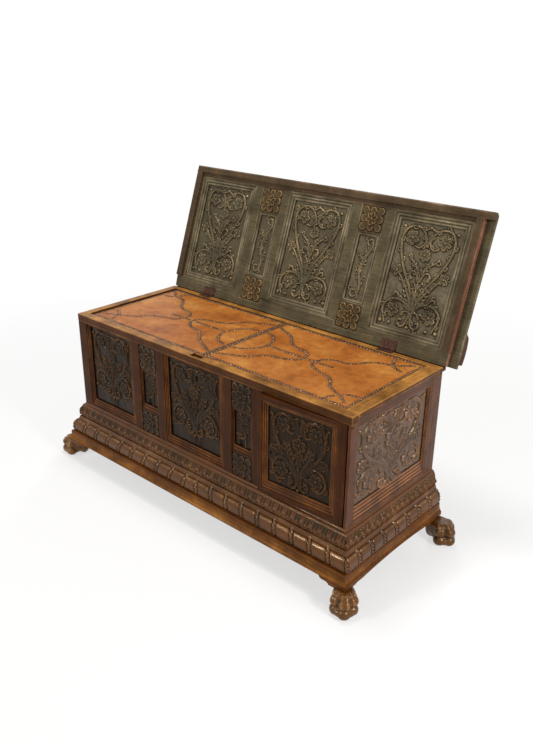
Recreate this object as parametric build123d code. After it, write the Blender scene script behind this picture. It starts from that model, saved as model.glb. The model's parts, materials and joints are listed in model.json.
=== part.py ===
from build123d import *
import math
import os

# A walnut cassone with paw feet. All sizes in millimetres.
# X runs to the viewer's right along the front, Y runs from the front to the back, Z is up.

# ---- overall sizes
carcass_width = 1250.0
carcass_depth = 477.0
carcass_height = 362.0
base_height = 160.0
foot_height = 80.0

# ---- top frame
front_rail_depth = 32.0
back_rail_depth = 21.0
left_rail_width = 29.0
right_rail_width = 45.0
front_rail_height = 26.0
side_rail_height = 12.0
worn_edge = 1.5
lock_notch_left = 28.0
lock_notch_right = 22.0
lock_notch_depth = 13.0
lock_notch_lip = 5.0

# ---- front frame, from left to right
corner_stile_width = 41.0
muntin_width = 36.0
bay_width = 89.0
centre_panel_width = 284.0
strike_stile_width = 38.0
front_thickness = 24.0
bottom_rail_height = 32.0
panel_recess = 11.0
panel_thickness = 12.0
rosette_block_height = 94.0
rosette_block_rise = 8.0
bottom_block_height = 85.0

# ---- end frames
end_thickness = 22.0
end_edge = 10.0
end_top_rail_height = 28.0
end_bottom_rail_height = 52.0
end_back_stile_width = 64.0
end_panel_recess = 7.0
end_panel_thickness = 9.0
end_groove = 3.0
end_groove_places = (8.0, 30.0)
handle_slot_limits = (3.5, 9.0, -40.0, -30.0)
handle_slot_depth = 4.0

# ---- back and bottom
back_thickness = 18.0
bottom_thickness = 14.0

# ---- door
door_width = 316.0
door_thickness = 22.0
door_strike_gap = 2.0
door_hinge_gap = 6.0
door_top_gap = 3.0
door_bottom_gap = 2.0
door_back_gap = 8.0
door_pivot_inset = 12.0
door_left_stile = 38.0
door_right_stile = 52.0
door_top_rail = 26.0
door_panel_recess = 9.0
door_panel_thickness = 6.0
door_edge = 12.0
door_rest_angle = 3.6
pivot_radius = 4.0
pivot_reach = 9.0
pivot_clearance = 0.06
pivot_hold = 20.0
door_moulding_right = 24.0
door_moulding_bottom = 36.0
chest_keyhole_x = -2.0
chest_keyhole_z = -74.0
chest_keyhole_radius = 4.0
chest_keyhole_slot_width = 4.0
chest_keyhole_slot_height = 14.0
keyhole_radius = 3.0
keyhole_slot_width = 3.0
keyhole_slot_height = 11.0
keyhole_from_moulding = 9.0
keyhole_below_middle = 14.0
bolt_height = 9.0
bolt_thickness = 3.0
bolt_length = 46.0
bolt_clearance = 0.3
bolt_set_back = 0.5
bolt_travel = 9.0
lock_case_width = 70.0
lock_case_height = 52.0
lock_plate_thickness = 1.5

# ---- leather-topped leaves
seam_offset = 0.0
seam_gap = 1.5
leaf_board_thickness = 11.0
leather_thickness = 2.0
left_leaf_recess = 5.0
right_leaf_recess = 3.5
leaf_side_gap = 1.0
leaf_axis_depth = 6.0
leaf_axis_gap = 7.0
leaf_tail = 3.0
leaf_pin_radius = 2.5
leaf_pin_reach = 12.0
leaf_pin_hold = 25.0
pin_clearance = 0.06
ledge_width = 12.0
ledge_height = 12.0
ledge_gap = 0.3
ledge_pin_room = 9.0
bearer_width = 44.0

# ---- base
base_depth = 40.0
thumb_height = 56.0
torus_height = 62.0
plinth_arch = 9.0
plinth_arch_end = 14.0
plinth_foot_run = 84.0
base_back_thickness = 22.0
plinth_overhang = 60.0
plinth_overhang_end = 51.0

# ---- paw feet
paw_radius = 38.0
paw_stretch = 26.0
toe_bulge = 8.0
toe_count = 5
toe_fan = 200.0
pad_height = 54.0
collar_width = 66.0
collar_step = 7.0
collar_inset = 3.0
right_foot_outset = 31.0
right_foot_forward = 35.5
right_foot_turn = 308.0
left_foot_outset = 59.0
left_foot_forward = 5.5
left_foot_turn = 220.0
back_foot_outset = 55.0
back_foot_inset = 22.5
back_foot_turn = 10.0

# ---- lid
lid_length = 477.0
lid_left_overhang = 3.0
lid_right_overhang = 35.0
lid_frame_overhang = 5.5
lid_board_thickness = 10.0
lid_frame_thickness = 14.0
lid_strip_rise = 9.0
lid_closed_gap = 0.5
lid_open_angle = 108.9
lid_edge_setback = 9.0
lid_bottom_rail = 32.0
lid_top_rail = 40.0
lid_top_strip = 24.0
lid_left_stile = 38.0
lid_left_strip = 27.0
lid_right_stile = 32.0
lid_right_strip = 25.0
lid_muntin_width = 35.5
lid_bay_width = 97.0
lid_panel_recess = 8.0
lid_block_rise = 6.0
lid_moulding_width = 28.0
lid_block_height = 90.0
lid_bay_drop = 20.0
batten_height = 103.0
batten_thickness = 28.0

# ---- lid hinges
hinge_axis_offset = 5.0
hinge_axis_rise = 5.0
hinge_positions = (-433.0, 415.0)
hinge_width = 56.0
hinge_leaf_length = 20.0
hinge_leaf_thickness = 2.5
hinge_barrel_radius = 4.0
hinge_pin_radius = 2.0
hinge_knuckle = 18.0
hinge_play = 0.4

# ---- mouldings
reed_count = 4
front_moulding_sides = (22.0, 22.0, 34.0, 10.0)
bay_moulding_sides = (9.0, 9.0, 26.0, 9.0)
end_moulding_sides = (5.0, 12.0, 60.0, 6.0)
lid_bay_moulding_sides = (14.0, 14.0, 14.0, 14.0)

# ---- worked-out places
half_width = carcass_width / 2
front_y = -carcass_depth / 2
back_y = carcass_depth / 2
carcass_bottom = -carcass_height
plinth_bottom = carcass_bottom - base_height
floor_z = plinth_bottom - foot_height
rail_bottom = -front_rail_height
inner_front_y = front_y + front_rail_depth
inner_back_y = back_y - back_rail_depth


def block(x0, x1, y0, y1, z0, z1):
    """Solid between two limits along each axis."""
    middle = Pos((x0 + x1) / 2, (y0 + y1) / 2, (z0 + z1) / 2)
    return middle * Box(x1 - x0, y1 - y0, z1 - z0)


def outline(start, *steps):
    """Face bounded by straight and arc steps; a step is an end point or a (through, end) pair."""
    edges = []
    here = start
    for step in steps + (start,):
        if step == here:
            continue
        if isinstance(step[0], tuple):
            edges.append(Edge.make_three_point_arc(here, step[0], step[1]))
            here = step[1]
        else:
            edges.append(Edge.make_line(here, step))
            here = step
    return Face(Wire(edges))


def prism(face, length):
    """Face raised along its drawing's local Z, whichever way its outline runs."""
    return extrude(face, length, dir=(0, 0, 1))


def rod(radius, start, direction, length):
    """Round bar from a start point along a direction."""
    return Plane(origin=start, z_dir=direction) * prism(Circle(radius), length)


def reeded_profile(width, height):
    """Moulding section: a flat lip at the outer edge, then rounded reeds stepping down inwards."""
    lip = width * 0.14
    reed = (width - lip) / reed_count
    drop = height * 0.8 / reed_count
    steps = [(0, height), (lip, height)]
    for index in range(reed_count):
        x = lip + index * reed
        y = height * 0.94 - index * drop
        steps.append((x, y))
        through = (x + reed * 0.5, y - drop * 0.3 + reed * 0.22)
        steps.append((through, (x + reed * 0.96, y - drop * 0.7)))
    steps.append((width, steps[-1][1][1] * 0.9))
    steps.append((width, 0))
    return outline((0, 0), *steps)


def bevelled_profile(width, height):
    """Plain moulding section for the narrow bays: a lip, a step and a slope."""
    step_y = height * 0.72
    return outline(
        (0, 0), (0, height), (width * 0.3, height), (width * 0.42, step_y), (width * 0.62, step_y),
        (width, height * 0.2), (width, 0),
    )


def mitred_frame(x0, x1, y0, y1, z, sides, height, profile=reeded_profile):
    """Four mitred moulding runs round a rectangle that stands on the plane z."""
    left, right, bottom, top = sides
    outer = [(x0, y0), (x1, y0), (x1, y1), (x0, y1)]
    inner = [
        (x0 + left, y0 + bottom), (x1 - right, y0 + bottom), (x1 - right, y1 - top), (x0 + left, y1 - top)
    ]
    runs = []
    for index, width in enumerate((bottom, right, top, left)):
        after = (index + 1) % 4
        start, end = Vector(*outer[index]), Vector(*outer[after])
        along = (end - start).normalized()
        across = Vector(-along.Y, along.X)
        plane = Plane(origin=(start.X, start.Y, z), x_dir=across, z_dir=along)
        bar = plane * prism(profile(width, height), (end - start).length)
        cut = outline(outer[index], outer[after], inner[after], inner[index])
        runs.append(bar & Pos(0, 0, z) * prism(cut, height))
    return runs


def write(name, solids, plane=None):
    """Keep a node's solids, placed on a plane when they were drawn on it."""
    solids = solids if isinstance(solids, list) else [solids]
    if plane is not None:
        solids = [plane * solid for solid in solids]
    nodes[name] = [piece for solid in solids for piece in solid.solids()]


nodes = {}

# ---- top frame --------------------------------------------------------------
leaf_left_x0 = -half_width + left_rail_width
leaf_right_x1 = half_width - right_rail_width
left_axis = (leaf_left_x0 + leaf_axis_gap, -left_leaf_recess - leaf_axis_depth)
right_axis = (leaf_right_x1 - leaf_axis_gap, -right_leaf_recess - leaf_axis_depth)
leaf_front_y = inner_front_y + leaf_side_gap
leaf_back_y = inner_back_y - leaf_side_gap
pin_hole = leaf_pin_radius + pin_clearance


def soften(edges):
    """Round the edges that hands have worn."""
    return fillet(edges, worn_edge)


def top_edges(rail):
    return rail.edges().group_by(Axis.Z)[-1]


front_top_rail = block(-half_width, half_width, front_y, inner_front_y, rail_bottom, 0)
front_top_rail = soften(top_edges(front_top_rail))
front_top_rail -= block(
    seam_offset - lock_notch_left, seam_offset + lock_notch_right,
    front_y + lock_notch_lip, inner_front_y, -lock_notch_depth, 1,
)
back_top_rail = block(-half_width, half_width, inner_back_y, back_y, rail_bottom, 0)
back_top_rail = soften(top_edges(back_top_rail))
for axis_x, axis_z in (left_axis, right_axis):
    front_top_rail -= rod(pin_hole, (axis_x, inner_front_y + 1, axis_z), (0, -1, 0), leaf_pin_reach + 2)
    back_top_rail -= rod(pin_hole, (axis_x, inner_back_y - 1, axis_z), (0, 1, 0), leaf_pin_reach + 2)
left_top_rail = block(-half_width, leaf_left_x0, inner_front_y, inner_back_y, -side_rail_height, 0)
right_top_rail = block(leaf_right_x1, half_width, inner_front_y, inner_back_y, -side_rail_height, 0)
left_top_rail = soften(top_edges(left_top_rail).filter_by(Axis.Y))
right_top_rail = soften(top_edges(right_top_rail).filter_by(Axis.Y))

# ---- front frame ------------------------------------------------------------
# Drawn on the front face: local X is X, local Y is Z, local Z comes out of the chest.
front = Plane(origin=(0, front_y, 0), x_dir=(1, 0, 0), z_dir=(0, -1, 0))
door_right = half_width - end_edge - door_hinge_gap
door_left = door_right - door_width
strike_x0 = door_left - door_strike_gap - strike_stile_width
bay_right_x0 = strike_x0 - bay_width
centre_x1 = bay_right_x0 - muntin_width
centre_x0 = centre_x1 - centre_panel_width
bay_left_x0 = centre_x0 - muntin_width - bay_width
panel_left_x0 = -half_width + corner_stile_width
panel_left_x1 = bay_left_x0 - muntin_width
panel_back = -panel_recess - panel_thickness
rail_top = carcass_bottom + bottom_rail_height


def upright(x0, width):
    """Stile or muntin lapped over the bottom rail, which passes behind its lower end."""
    post = block(x0, x0 + width, carcass_bottom, rail_bottom, -front_thickness, 0)
    lap = block(x0 - 1, x0 + width + 1, carcass_bottom - 1, rail_top, -front_thickness - 1, -panel_recess)
    return post - lap


def keyhole_cutter(x, z, radius, slot_width, slot_height):
    """Round hole with a slot below it, through anything on the front face."""
    reach = 2 * front_thickness
    hole = Pos(x, z, 0) * Cylinder(radius, 2 * reach)
    return hole + block(x - slot_width / 2, x + slot_width / 2, z - slot_height, z, -reach, reach)


corner_stile = block(-half_width, panel_left_x0, carcass_bottom, rail_bottom, -front_thickness, 0)
corner_stile = soften(corner_stile.edges().filter_by(Axis.Y).group_by(Axis.Z)[-1].sort_by(Axis.X)[:1])
muntin_places = (panel_left_x1, centre_x0 - muntin_width, centre_x1)
muntins = [upright(x0, muntin_width) for x0 in muntin_places]
strike_x1 = strike_x0 + strike_stile_width
strike_stile = upright(strike_x0, strike_stile_width)
bottom_rail = block(panel_left_x0, strike_x1, carcass_bottom, rail_top, -front_thickness, -panel_recess)

panel_left = block(panel_left_x0, panel_left_x1, rail_top, rail_bottom, panel_back, -panel_recess)
panel_centre = block(centre_x0, centre_x1, rail_top, rail_bottom, panel_back, -panel_recess)
panel_centre -= keyhole_cutter(
    chest_keyhole_x, chest_keyhole_z,
    chest_keyhole_radius, chest_keyhole_slot_width, chest_keyhole_slot_height,
)
panel_mouldings = []
for x0, x1 in ((panel_left_x0, panel_left_x1), (centre_x0, centre_x1)):
    panel_mouldings += mitred_frame(
        x0, x1, carcass_bottom, rail_bottom, -panel_recess, front_moulding_sides, panel_recess
    )


def rosette_block(x0, x1, y0, y1, z0, rise):
    """Planted block with a chamfered face."""
    plate = block(x0, x1, y0, y1, z0, z0 + rise)
    return chamfer(plate.faces().sort_by(Axis.Z)[-1].edges(), rise * 0.25)


bay_boards = []
bay_mouldings = []
rosette_blocks = []
upper_block_bottom = rail_bottom - rosette_block_height
lower_block_top = carcass_bottom + bottom_block_height
for x0 in (bay_left_x0, bay_right_x0):
    x1 = x0 + bay_width
    bay_boards.append(block(x0, x1, rail_top, rail_bottom, panel_back, -panel_recess))
    for y0, y1 in ((upper_block_bottom, rail_bottom), (carcass_bottom, lower_block_top)):
        rosette_blocks.append(rosette_block(x0, x1, y0, y1, -panel_recess, rosette_block_rise))
    bay_mouldings += mitred_frame(
        x0, x1, lower_block_top, upper_block_bottom, -panel_recess, bay_moulding_sides, rosette_block_rise,
        bevelled_profile,
    )

# ---- end frames -------------------------------------------------------------
# Drawn on the right end: local X runs from the front edge to the back, local Y is Z, local Z comes out.
right_end = Plane(origin=(half_width, front_y, 0), x_dir=(0, 1, 0), z_dir=(1, 0, 0))
end_front_stile_x1 = front_rail_depth
end_back_stile_x0 = carcass_depth - end_back_stile_width
end_rail_top = -side_rail_height
end_opening_top = end_rail_top - end_top_rail_height
end_opening_bottom = carcass_bottom + end_bottom_rail_height
end_panel_back = -end_panel_recess - end_panel_thickness


def end_assembly(front_edge, rebate):
    """Rails and stiles, panel and moulding of one end, with its front edge at front_edge."""
    stile_x1 = max(end_front_stile_x1, front_edge + end_edge)
    front_stile = block(front_edge, stile_x1, carcass_bottom, rail_bottom, -end_thickness, 0)
    if rebate:
        rebate_x1 = door_thickness + door_back_gap
        front_stile -= block(-1, rebate_x1, carcass_bottom - 1, 1, -end_thickness - 1, -end_edge)
    back_stile = block(end_back_stile_x0, carcass_depth, carcass_bottom, end_rail_top, -end_thickness, 0)
    back_stile -= block(
        carcass_depth - back_rail_depth, carcass_depth + 1, rail_bottom, 1, -end_thickness - 1, 1
    )
    for place in end_groove_places:
        groove_start = (end_back_stile_x0 + place, carcass_bottom - 1, 0)
        back_stile -= rod(end_groove / 2, groove_start, (0, 1, 0), carcass_height + 2)
    top_rail = block(stile_x1, end_back_stile_x0, end_opening_top, end_rail_top, -end_thickness, 0)
    low_rail = block(
        stile_x1, end_back_stile_x0, carcass_bottom, end_opening_bottom, -end_thickness, -end_panel_recess
    )
    panel = block(
        stile_x1, end_back_stile_x0, end_opening_bottom, end_opening_top, end_panel_back, -end_panel_recess
    )
    moulding = mitred_frame(
        stile_x1, end_back_stile_x0, carcass_bottom, end_opening_top, -end_panel_recess, end_moulding_sides,
        end_panel_recess,
    )
    return [front_stile, back_stile, top_rail, low_rail], panel, moulding


def mirrored(solids):
    return [mirror(solid, about=Plane.YZ) for solid in solids]


right_frame, right_panel, right_moulding = end_assembly(0, True)
left_frame, left_panel, left_moulding = end_assembly(front_thickness, False)
right_frame[0] -= block(*handle_slot_limits, -handle_slot_depth, 1)

# ---- back and bottom --------------------------------------------------------
inner_x = half_width - end_thickness
back_board = block(-inner_x, inner_x, back_y - back_thickness, back_y, carcass_bottom, rail_bottom)
bottom_front = front_y + front_thickness
bottom_board = block(
    -inner_x, inner_x, bottom_front, back_y - back_thickness,
    carcass_bottom, carcass_bottom + bottom_thickness,
)
bottom_board -= block(
    strike_x1, half_width, bottom_front - 1, front_y + door_thickness + door_back_gap, carcass_bottom - 1, 0
)

# ---- leather-topped leaves --------------------------------------------------
seam_left = seam_offset - seam_gap / 2
seam_right = seam_offset + seam_gap / 2


def leaf(axis, hinge_end, free_end, side):
    """Board, leather and two pins of one leaf; side is 1 when the leaf runs towards +X from its pins."""
    axis_x, axis_z = axis
    leather_top = axis_z + leaf_axis_depth
    board_top = leather_top - leather_thickness
    tail_x = axis_x - side * leaf_tail
    low, high = sorted((tail_x, free_end))
    board = block(low, high, leaf_front_y, leaf_back_y, board_top - leaf_board_thickness, board_top)
    leather = block(low, high, leaf_front_y, leaf_back_y, board_top, leather_top)
    pins = [
        rod(leaf_pin_radius, (axis_x, leaf_front_y + leaf_pin_hold, axis_z), (0, -1, 0),
            leaf_pin_hold + leaf_side_gap + leaf_pin_reach),
        rod(leaf_pin_radius, (axis_x, leaf_back_y - leaf_pin_hold, axis_z), (0, 1, 0),
            leaf_pin_hold + leaf_side_gap + leaf_pin_reach),
    ]
    for pin in pins:
        board -= pin
    return board, leather, pins


left_board, left_leather, left_pins = leaf(left_axis, leaf_left_x0, seam_left, 1)
right_board, right_leather, right_pins = leaf(right_axis, leaf_right_x1, seam_right, -1)


def ledge(x0, x1, y0, y1, recess):
    top = -recess - leather_thickness - leaf_board_thickness - ledge_gap
    return block(x0, x1, y0, y1, top - ledge_height, top)


ledge_left_x0 = left_axis[0] + ledge_pin_room
ledge_right_x1 = right_axis[0] - ledge_pin_room
bearer_x0 = seam_offset - bearer_width / 2
bearer_x1 = seam_offset + bearer_width / 2
ledges = []
for x0, x1, recess in (
    (ledge_left_x0, seam_left, left_leaf_recess), (seam_right, ledge_right_x1, right_leaf_recess)
):
    ledges.append(ledge(x0, x1, inner_front_y, inner_front_y + ledge_width, recess))
    ledges.append(ledge(x0, x1, inner_back_y - ledge_width, inner_back_y, recess))
seam_bearer = ledge(
    bearer_x0, bearer_x1, inner_front_y + ledge_width, inner_back_y - ledge_width, left_leaf_recess
)

# ---- base -------------------------------------------------------------------
# Sections are drawn as (overhang beyond the carcass, height): cavetto and thumb, torus, plinth.
thumb_bottom = carcass_bottom - thumb_height
torus_bottom = thumb_bottom - torus_height
overhang_limit = 90.0


def base_section(*steps):
    """Section of a base moulding closed at its inner face."""
    first = steps[0]
    last = steps[-1][1] if isinstance(steps[-1][0], tuple) else steps[-1]
    return outline((-base_depth, first[1]), *steps, (-base_depth, last[1]))


thumb_section = base_section(
    (0.0, carcass_bottom),
    ((2.5, carcass_bottom - 6), (8.0, carcass_bottom - 8)),
    (9.0, carcass_bottom - 12),
    ((18.0, carcass_bottom - 28), (21.0, carcass_bottom - 47)),
    ((19.5, carcass_bottom - 52), (14.0, carcass_bottom - 53)),
    (14.0, thumb_bottom),
)
torus_section = base_section(
    (17.0, thumb_bottom),
    (21.0, thumb_bottom - 3),
    (21.0, thumb_bottom - 11),
    (24.0, thumb_bottom - 13),
    ((38.0, thumb_bottom - 27), (41.0, torus_bottom + 17)),
    ((41.5, torus_bottom + 6), (38.0, torus_bottom)),
)


def plinth_section(overhang):
    """Plinth with a top fillet and a hollow that spreads to its lower face."""
    return base_section(
        (overhang - 11, torus_bottom),
        (overhang - 9, torus_bottom - 3),
        (overhang - 9, torus_bottom - 8),
        ((overhang - 7, torus_bottom - 20), (overhang, torus_bottom - 30)),
        (overhang, plinth_bottom),
    )


def base_runs(front_section, end_section, extra=0.0):
    """Front run and two end runs of one moulding, mitred on the front corners.

    The front run stands out further than the end runs by the extra overhang.
    """
    reach_x = half_width + overhang_limit
    reach_y = front_y - overhang_limit - extra
    inside_x = half_width - base_depth
    inside_y = front_y + base_depth - extra
    across_front = Plane(origin=(reach_x, front_y, 0), x_dir=(0, -1, 0), z_dir=(-1, 0, 0))
    along_end = Plane(origin=(half_width, back_y, 0), x_dir=(1, 0, 0), z_dir=(0, -1, 0))
    front_cut = outline((-reach_x, reach_y), (reach_x, reach_y), (inside_x, inside_y), (-inside_x, inside_y))
    end_cut = outline((reach_x, reach_y), (reach_x, back_y), (inside_x, back_y), (inside_x, inside_y))
    deep = Pos(0, 0, floor_z)
    front_run = across_front * prism(front_section, 2 * reach_x) & deep * prism(front_cut, -floor_z)
    end_length = carcass_depth + overhang_limit + extra
    end_run = along_end * prism(end_section, end_length) & deep * prism(end_cut, -floor_z)
    return [front_run, end_run, mirror(end_run, about=Plane.YZ)]


thumb_runs = base_runs(thumb_section, thumb_section)
torus_runs = base_runs(torus_section, torus_section)
plinth_extra = plinth_overhang - plinth_overhang_end
plinth_runs = base_runs(plinth_section(plinth_overhang), plinth_section(plinth_overhang_end), plinth_extra)

# The plinth's lower edge rises between the feet: straight with small coves in front, arched on the ends.
arch_x = half_width + plinth_overhang_end - plinth_foot_run
arch_top = plinth_bottom + plinth_arch
below = plinth_bottom - 1
cove_x = arch_x - plinth_arch_end * 0.75
cove_z = plinth_bottom + plinth_arch * 0.35
front_arch = outline(
    (-arch_x, below),
    (-arch_x, plinth_bottom),
    ((-cove_x, cove_z), (-arch_x + plinth_arch_end, arch_top)),
    (arch_x - plinth_arch_end, arch_top),
    ((cove_x, cove_z), (arch_x, plinth_bottom)),
    (arch_x, below),
)
front_cutter = Plane.XZ.offset(half_width) * prism(front_arch, -carcass_width)
plinth_runs[0] -= front_cutter
end_arch_y0 = front_y - plinth_overhang + plinth_foot_run
end_arch_y1 = back_y - plinth_foot_run
end_arch_mid = (end_arch_y0 + end_arch_y1) / 2
end_arch = outline(
    (end_arch_y0, below),
    (end_arch_y0, plinth_bottom),
    ((end_arch_mid, arch_top), (end_arch_y1, plinth_bottom)),
    (end_arch_y1, below),
)
end_cutter = Plane.YZ * prism(end_arch, carcass_width)
plinth_runs[1] -= end_cutter
plinth_runs[2] -= mirror(end_cutter, about=Plane.YZ)
base_back = block(
    -half_width + base_depth, half_width - base_depth, back_y - base_back_thickness, back_y,
    arch_top, carcass_bottom,
)


# ---- paw feet ---------------------------------------------------------------
def paw():
    """Paw foot about its own origin on the floor, toes towards +X: a scalloped plan cut to two tiers."""

    def polar(radius, degrees):
        turn = math.radians(degrees)
        return radius * math.cos(turn), radius * math.sin(turn)

    step = toe_fan / toe_count
    plan_steps = []
    for index in range(toe_count):
        tip, valley = -toe_fan / 2 + (index + 0.5) * step, -toe_fan / 2 + (index + 1) * step
        tip_radius = paw_radius + toe_bulge + paw_stretch * math.cos(math.radians(tip))
        valley_radius = paw_radius + paw_stretch * math.cos(math.radians(valley))
        plan_steps.append((polar(tip_radius, tip), polar(valley_radius, valley)))
    start = polar(paw_radius + paw_stretch * math.cos(math.radians(toe_fan / 2)), -toe_fan / 2)
    plan = outline(start, *plan_steps, ((-paw_radius, 0), start))

    def two_tiers(front_reach, rear_reach):
        """Upright outline of a rounded pad under a rounded upper lobe."""
        return outline(
            (-rear_reach * 0.68, 0),
            (front_reach * 0.6, 0),
            ((front_reach * 0.9, pad_height * 0.25), (front_reach * 0.98, pad_height * 0.68)),
            (front_reach * 0.88, pad_height),
            ((front_reach * 1.02, foot_height * 0.84), (front_reach * 0.93, foot_height)),
            (-rear_reach * 0.93, foot_height),
            ((-rear_reach * 1.02, foot_height * 0.84), (-rear_reach * 0.88, pad_height)),
            (-rear_reach * 0.98, pad_height * 0.68),
            ((-rear_reach * 0.9, pad_height * 0.25), (-rear_reach * 0.68, 0)),
        )

    long_reach = paw_radius + paw_stretch + toe_bulge
    wide_reach = paw_radius + toe_bulge * 0.6
    from_side = Plane(origin=(0, 2 * long_reach, 0), x_dir=(1, 0, 0), z_dir=(0, -1, 0))
    from_front = Plane(origin=(-2 * long_reach, 0, 0), x_dir=(0, 1, 0), z_dir=(1, 0, 0))
    side_cut = from_side * prism(two_tiers(long_reach, paw_radius), 4 * long_reach)
    front_cut = from_front * prism(two_tiers(wide_reach, wide_reach), 4 * long_reach)
    return prism(plan, foot_height) & side_cut & front_cut


def foot(side, end_y, rearward, x, y, turn):
    """One foot: its paw, and a stepped collar square to the plinth corner that it carries."""
    outer_x = half_width + plinth_overhang_end - collar_inset
    outer_y = end_y - rearward * collar_inset
    solid = Pos(x, y, floor_z) * Rot(0, 0, turn) * paw_foot
    for step in range(2):
        shrink = step * collar_inset
        top = plinth_bottom - step * collar_step
        x_limits = sorted((side * (outer_x - shrink), side * (outer_x - collar_width + shrink)))
        y_limits = sorted((outer_y - rearward * shrink, outer_y - rearward * (collar_width - shrink)))
        solid += block(*x_limits, *y_limits, top - collar_step, top)
    return solid


paw_foot = paw()
right_foot_x = half_width + right_foot_outset
right_foot_y = front_y - right_foot_forward
left_foot_x = -half_width - left_foot_outset
left_foot_y = front_y - left_foot_forward
back_foot_x = half_width + back_foot_outset
back_foot_y = back_y - back_foot_inset
plinth_front_y = front_y - plinth_overhang
feet = {
    "foot_front_left": (-1, plinth_front_y, -1, left_foot_x, left_foot_y, left_foot_turn),
    "foot_front_right": (1, plinth_front_y, -1, right_foot_x, right_foot_y, right_foot_turn),
    "foot_back_left": (-1, back_y, 1, -back_foot_x, back_foot_y, 180 + back_foot_turn),
    "foot_back_right": (1, back_y, 1, back_foot_x, back_foot_y, 360 - back_foot_turn),
}

# ---- door -------------------------------------------------------------------
# Drawn closed on the front face, then swung to its resting angle about the pivots.
door_top = rail_bottom - door_top_gap
door_bottom = carcass_bottom + door_bottom_gap
pivot_x = door_right - door_pivot_inset
pivot_y = front_y + door_thickness / 2
field_x0 = door_left + door_edge
field_x1 = door_right - door_right_stile + door_moulding_right
field_y0 = door_bottom + door_edge
field_y1 = door_top - door_edge
door_moulding_sides = (
    door_left_stile - door_edge, door_moulding_right, door_moulding_bottom, door_top_rail - door_edge
)
door_stiles = [
    block(door_left, field_x0, door_bottom, door_top, -door_thickness, 0),
    block(field_x1, door_right, door_bottom, door_top, -door_thickness, 0),
]
door_rails = [
    block(field_x0, field_x1, door_bottom, field_y0, -door_thickness, 0),
    block(field_x0, field_x1, field_y1, door_top, -door_thickness, 0),
]
door_panel_back = -door_panel_recess - door_panel_thickness
door_panel = block(field_x0, field_x1, field_y0, field_y1, door_panel_back, -door_panel_recess)
door_moulding = mitred_frame(
    field_x0, field_x1, field_y0, field_y1, -door_panel_recess, door_moulding_sides, door_panel_recess
)
keyhole_x = field_x0 + door_moulding_sides[0] + keyhole_from_moulding
keyhole_z = (door_top + door_bottom) / 2 - keyhole_below_middle
keyhole = keyhole_cutter(keyhole_x, keyhole_z, keyhole_radius, keyhole_slot_width, keyhole_slot_height)
door_panel -= keyhole

bolt_z = keyhole_z
bolt_x0 = door_left + bolt_set_back
bolt_y1 = door_panel_back
bolt_y0 = door_panel_back - bolt_thickness
bolt = block(
    bolt_x0, bolt_x0 + bolt_length, bolt_z - bolt_height / 2, bolt_z + bolt_height / 2,
    bolt_y0 + bolt_clearance, bolt_y1 - bolt_clearance,
)
bolt_way = block(
    bolt_x0 - bolt_travel, bolt_x0 + bolt_length + bolt_clearance,
    bolt_z - bolt_height / 2 - bolt_clearance, bolt_z + bolt_height / 2 + bolt_clearance, bolt_y0, bolt_y1,
)
door_stiles[0] -= bolt_way
case_x0 = field_x0
lock_case = block(
    case_x0, case_x0 + lock_case_width, bolt_z - lock_case_height / 2, bolt_z + lock_case_height / 2,
    bolt_y0 - lock_plate_thickness, bolt_y1,
)
lock_case -= bolt_way
lock_case -= keyhole
strike_stile -= block(
    strike_x1 - bolt_travel - 2, strike_x1 + 1, bolt_z - bolt_height / 2 - 1, bolt_z + bolt_height / 2 + 1,
    bolt_y0 - 1, bolt_y1 + 1,
)

pivot_depth = -door_thickness / 2
pivot_top = rod(
    pivot_radius, (pivot_x, door_top - pivot_hold, pivot_depth), (0, 1, 0),
    pivot_hold + door_top_gap + pivot_reach,
)
pivot_bottom = rod(
    pivot_radius, (pivot_x, door_bottom + pivot_hold, pivot_depth), (0, -1, 0),
    pivot_hold + door_bottom_gap + pivot_reach,
)
for pin in (pivot_top, pivot_bottom):
    door_stiles[1] -= pin
pivot_hole = pivot_radius + pivot_clearance
front_top_rail -= rod(pivot_hole, (pivot_x, pivot_y, rail_bottom - 1), (0, 0, 1), pivot_reach + 2)
thumb_runs[0] -= rod(pivot_hole, (pivot_x, pivot_y, carcass_bottom + 1), (0, 0, -1), pivot_reach + 2)

# ---- lid --------------------------------------------------------------------
# Drawn on the lid's inner face: local X is X, local Y runs up from the hinge edge, local Z faces the viewer.
hinge_y = back_y + hinge_axis_offset
hinge_z = hinge_axis_rise
swing = math.radians(lid_open_angle)
face_rise = lid_closed_gap + lid_strip_rise - hinge_axis_rise
lid_origin_y = hinge_y - lid_edge_setback * math.cos(swing) + face_rise * math.sin(swing)
lid_origin_z = hinge_z + lid_edge_setback * math.sin(swing) + face_rise * math.cos(swing)
lid = Plane(
    origin=(0, lid_origin_y, lid_origin_z), x_dir=(1, 0, 0), z_dir=(0, -math.sin(swing), -math.cos(swing))
)
lid_x0 = -half_width - lid_left_overhang
lid_frame_x1 = half_width + lid_frame_overhang
lid_x1 = half_width + lid_right_overhang
lid_frame_back = -lid_frame_thickness
lid_back = lid_frame_back - lid_board_thickness
lid_top = lid_length
opening_bottom = lid_bottom_rail
opening_top = lid_top - lid_top_rail
lid_board = block(lid_x0, lid_x1, 0, lid_top, lid_back, lid_frame_back)
lid_field_x0 = lid_x0 + lid_left_stile
lid_field_x1 = lid_frame_x1 - lid_right_stile
lid_bay_span = 2 * lid_muntin_width + lid_bay_width
lid_panel_width = (lid_field_x1 - lid_field_x0 - 2 * lid_bay_span) / 3
lid_frame = [
    block(lid_x0, lid_frame_x1, 0, opening_bottom, lid_frame_back, 0),
    block(lid_x0, lid_frame_x1, opening_top, lid_top, lid_frame_back, 0),
    block(lid_x0, lid_field_x0, opening_bottom, opening_top, lid_frame_back, 0),
    block(lid_field_x1, lid_frame_x1, opening_bottom, opening_top, lid_frame_back, 0),
]
lid_panels = []
lid_panel_mouldings = []
lid_bay_boards = []
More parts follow.
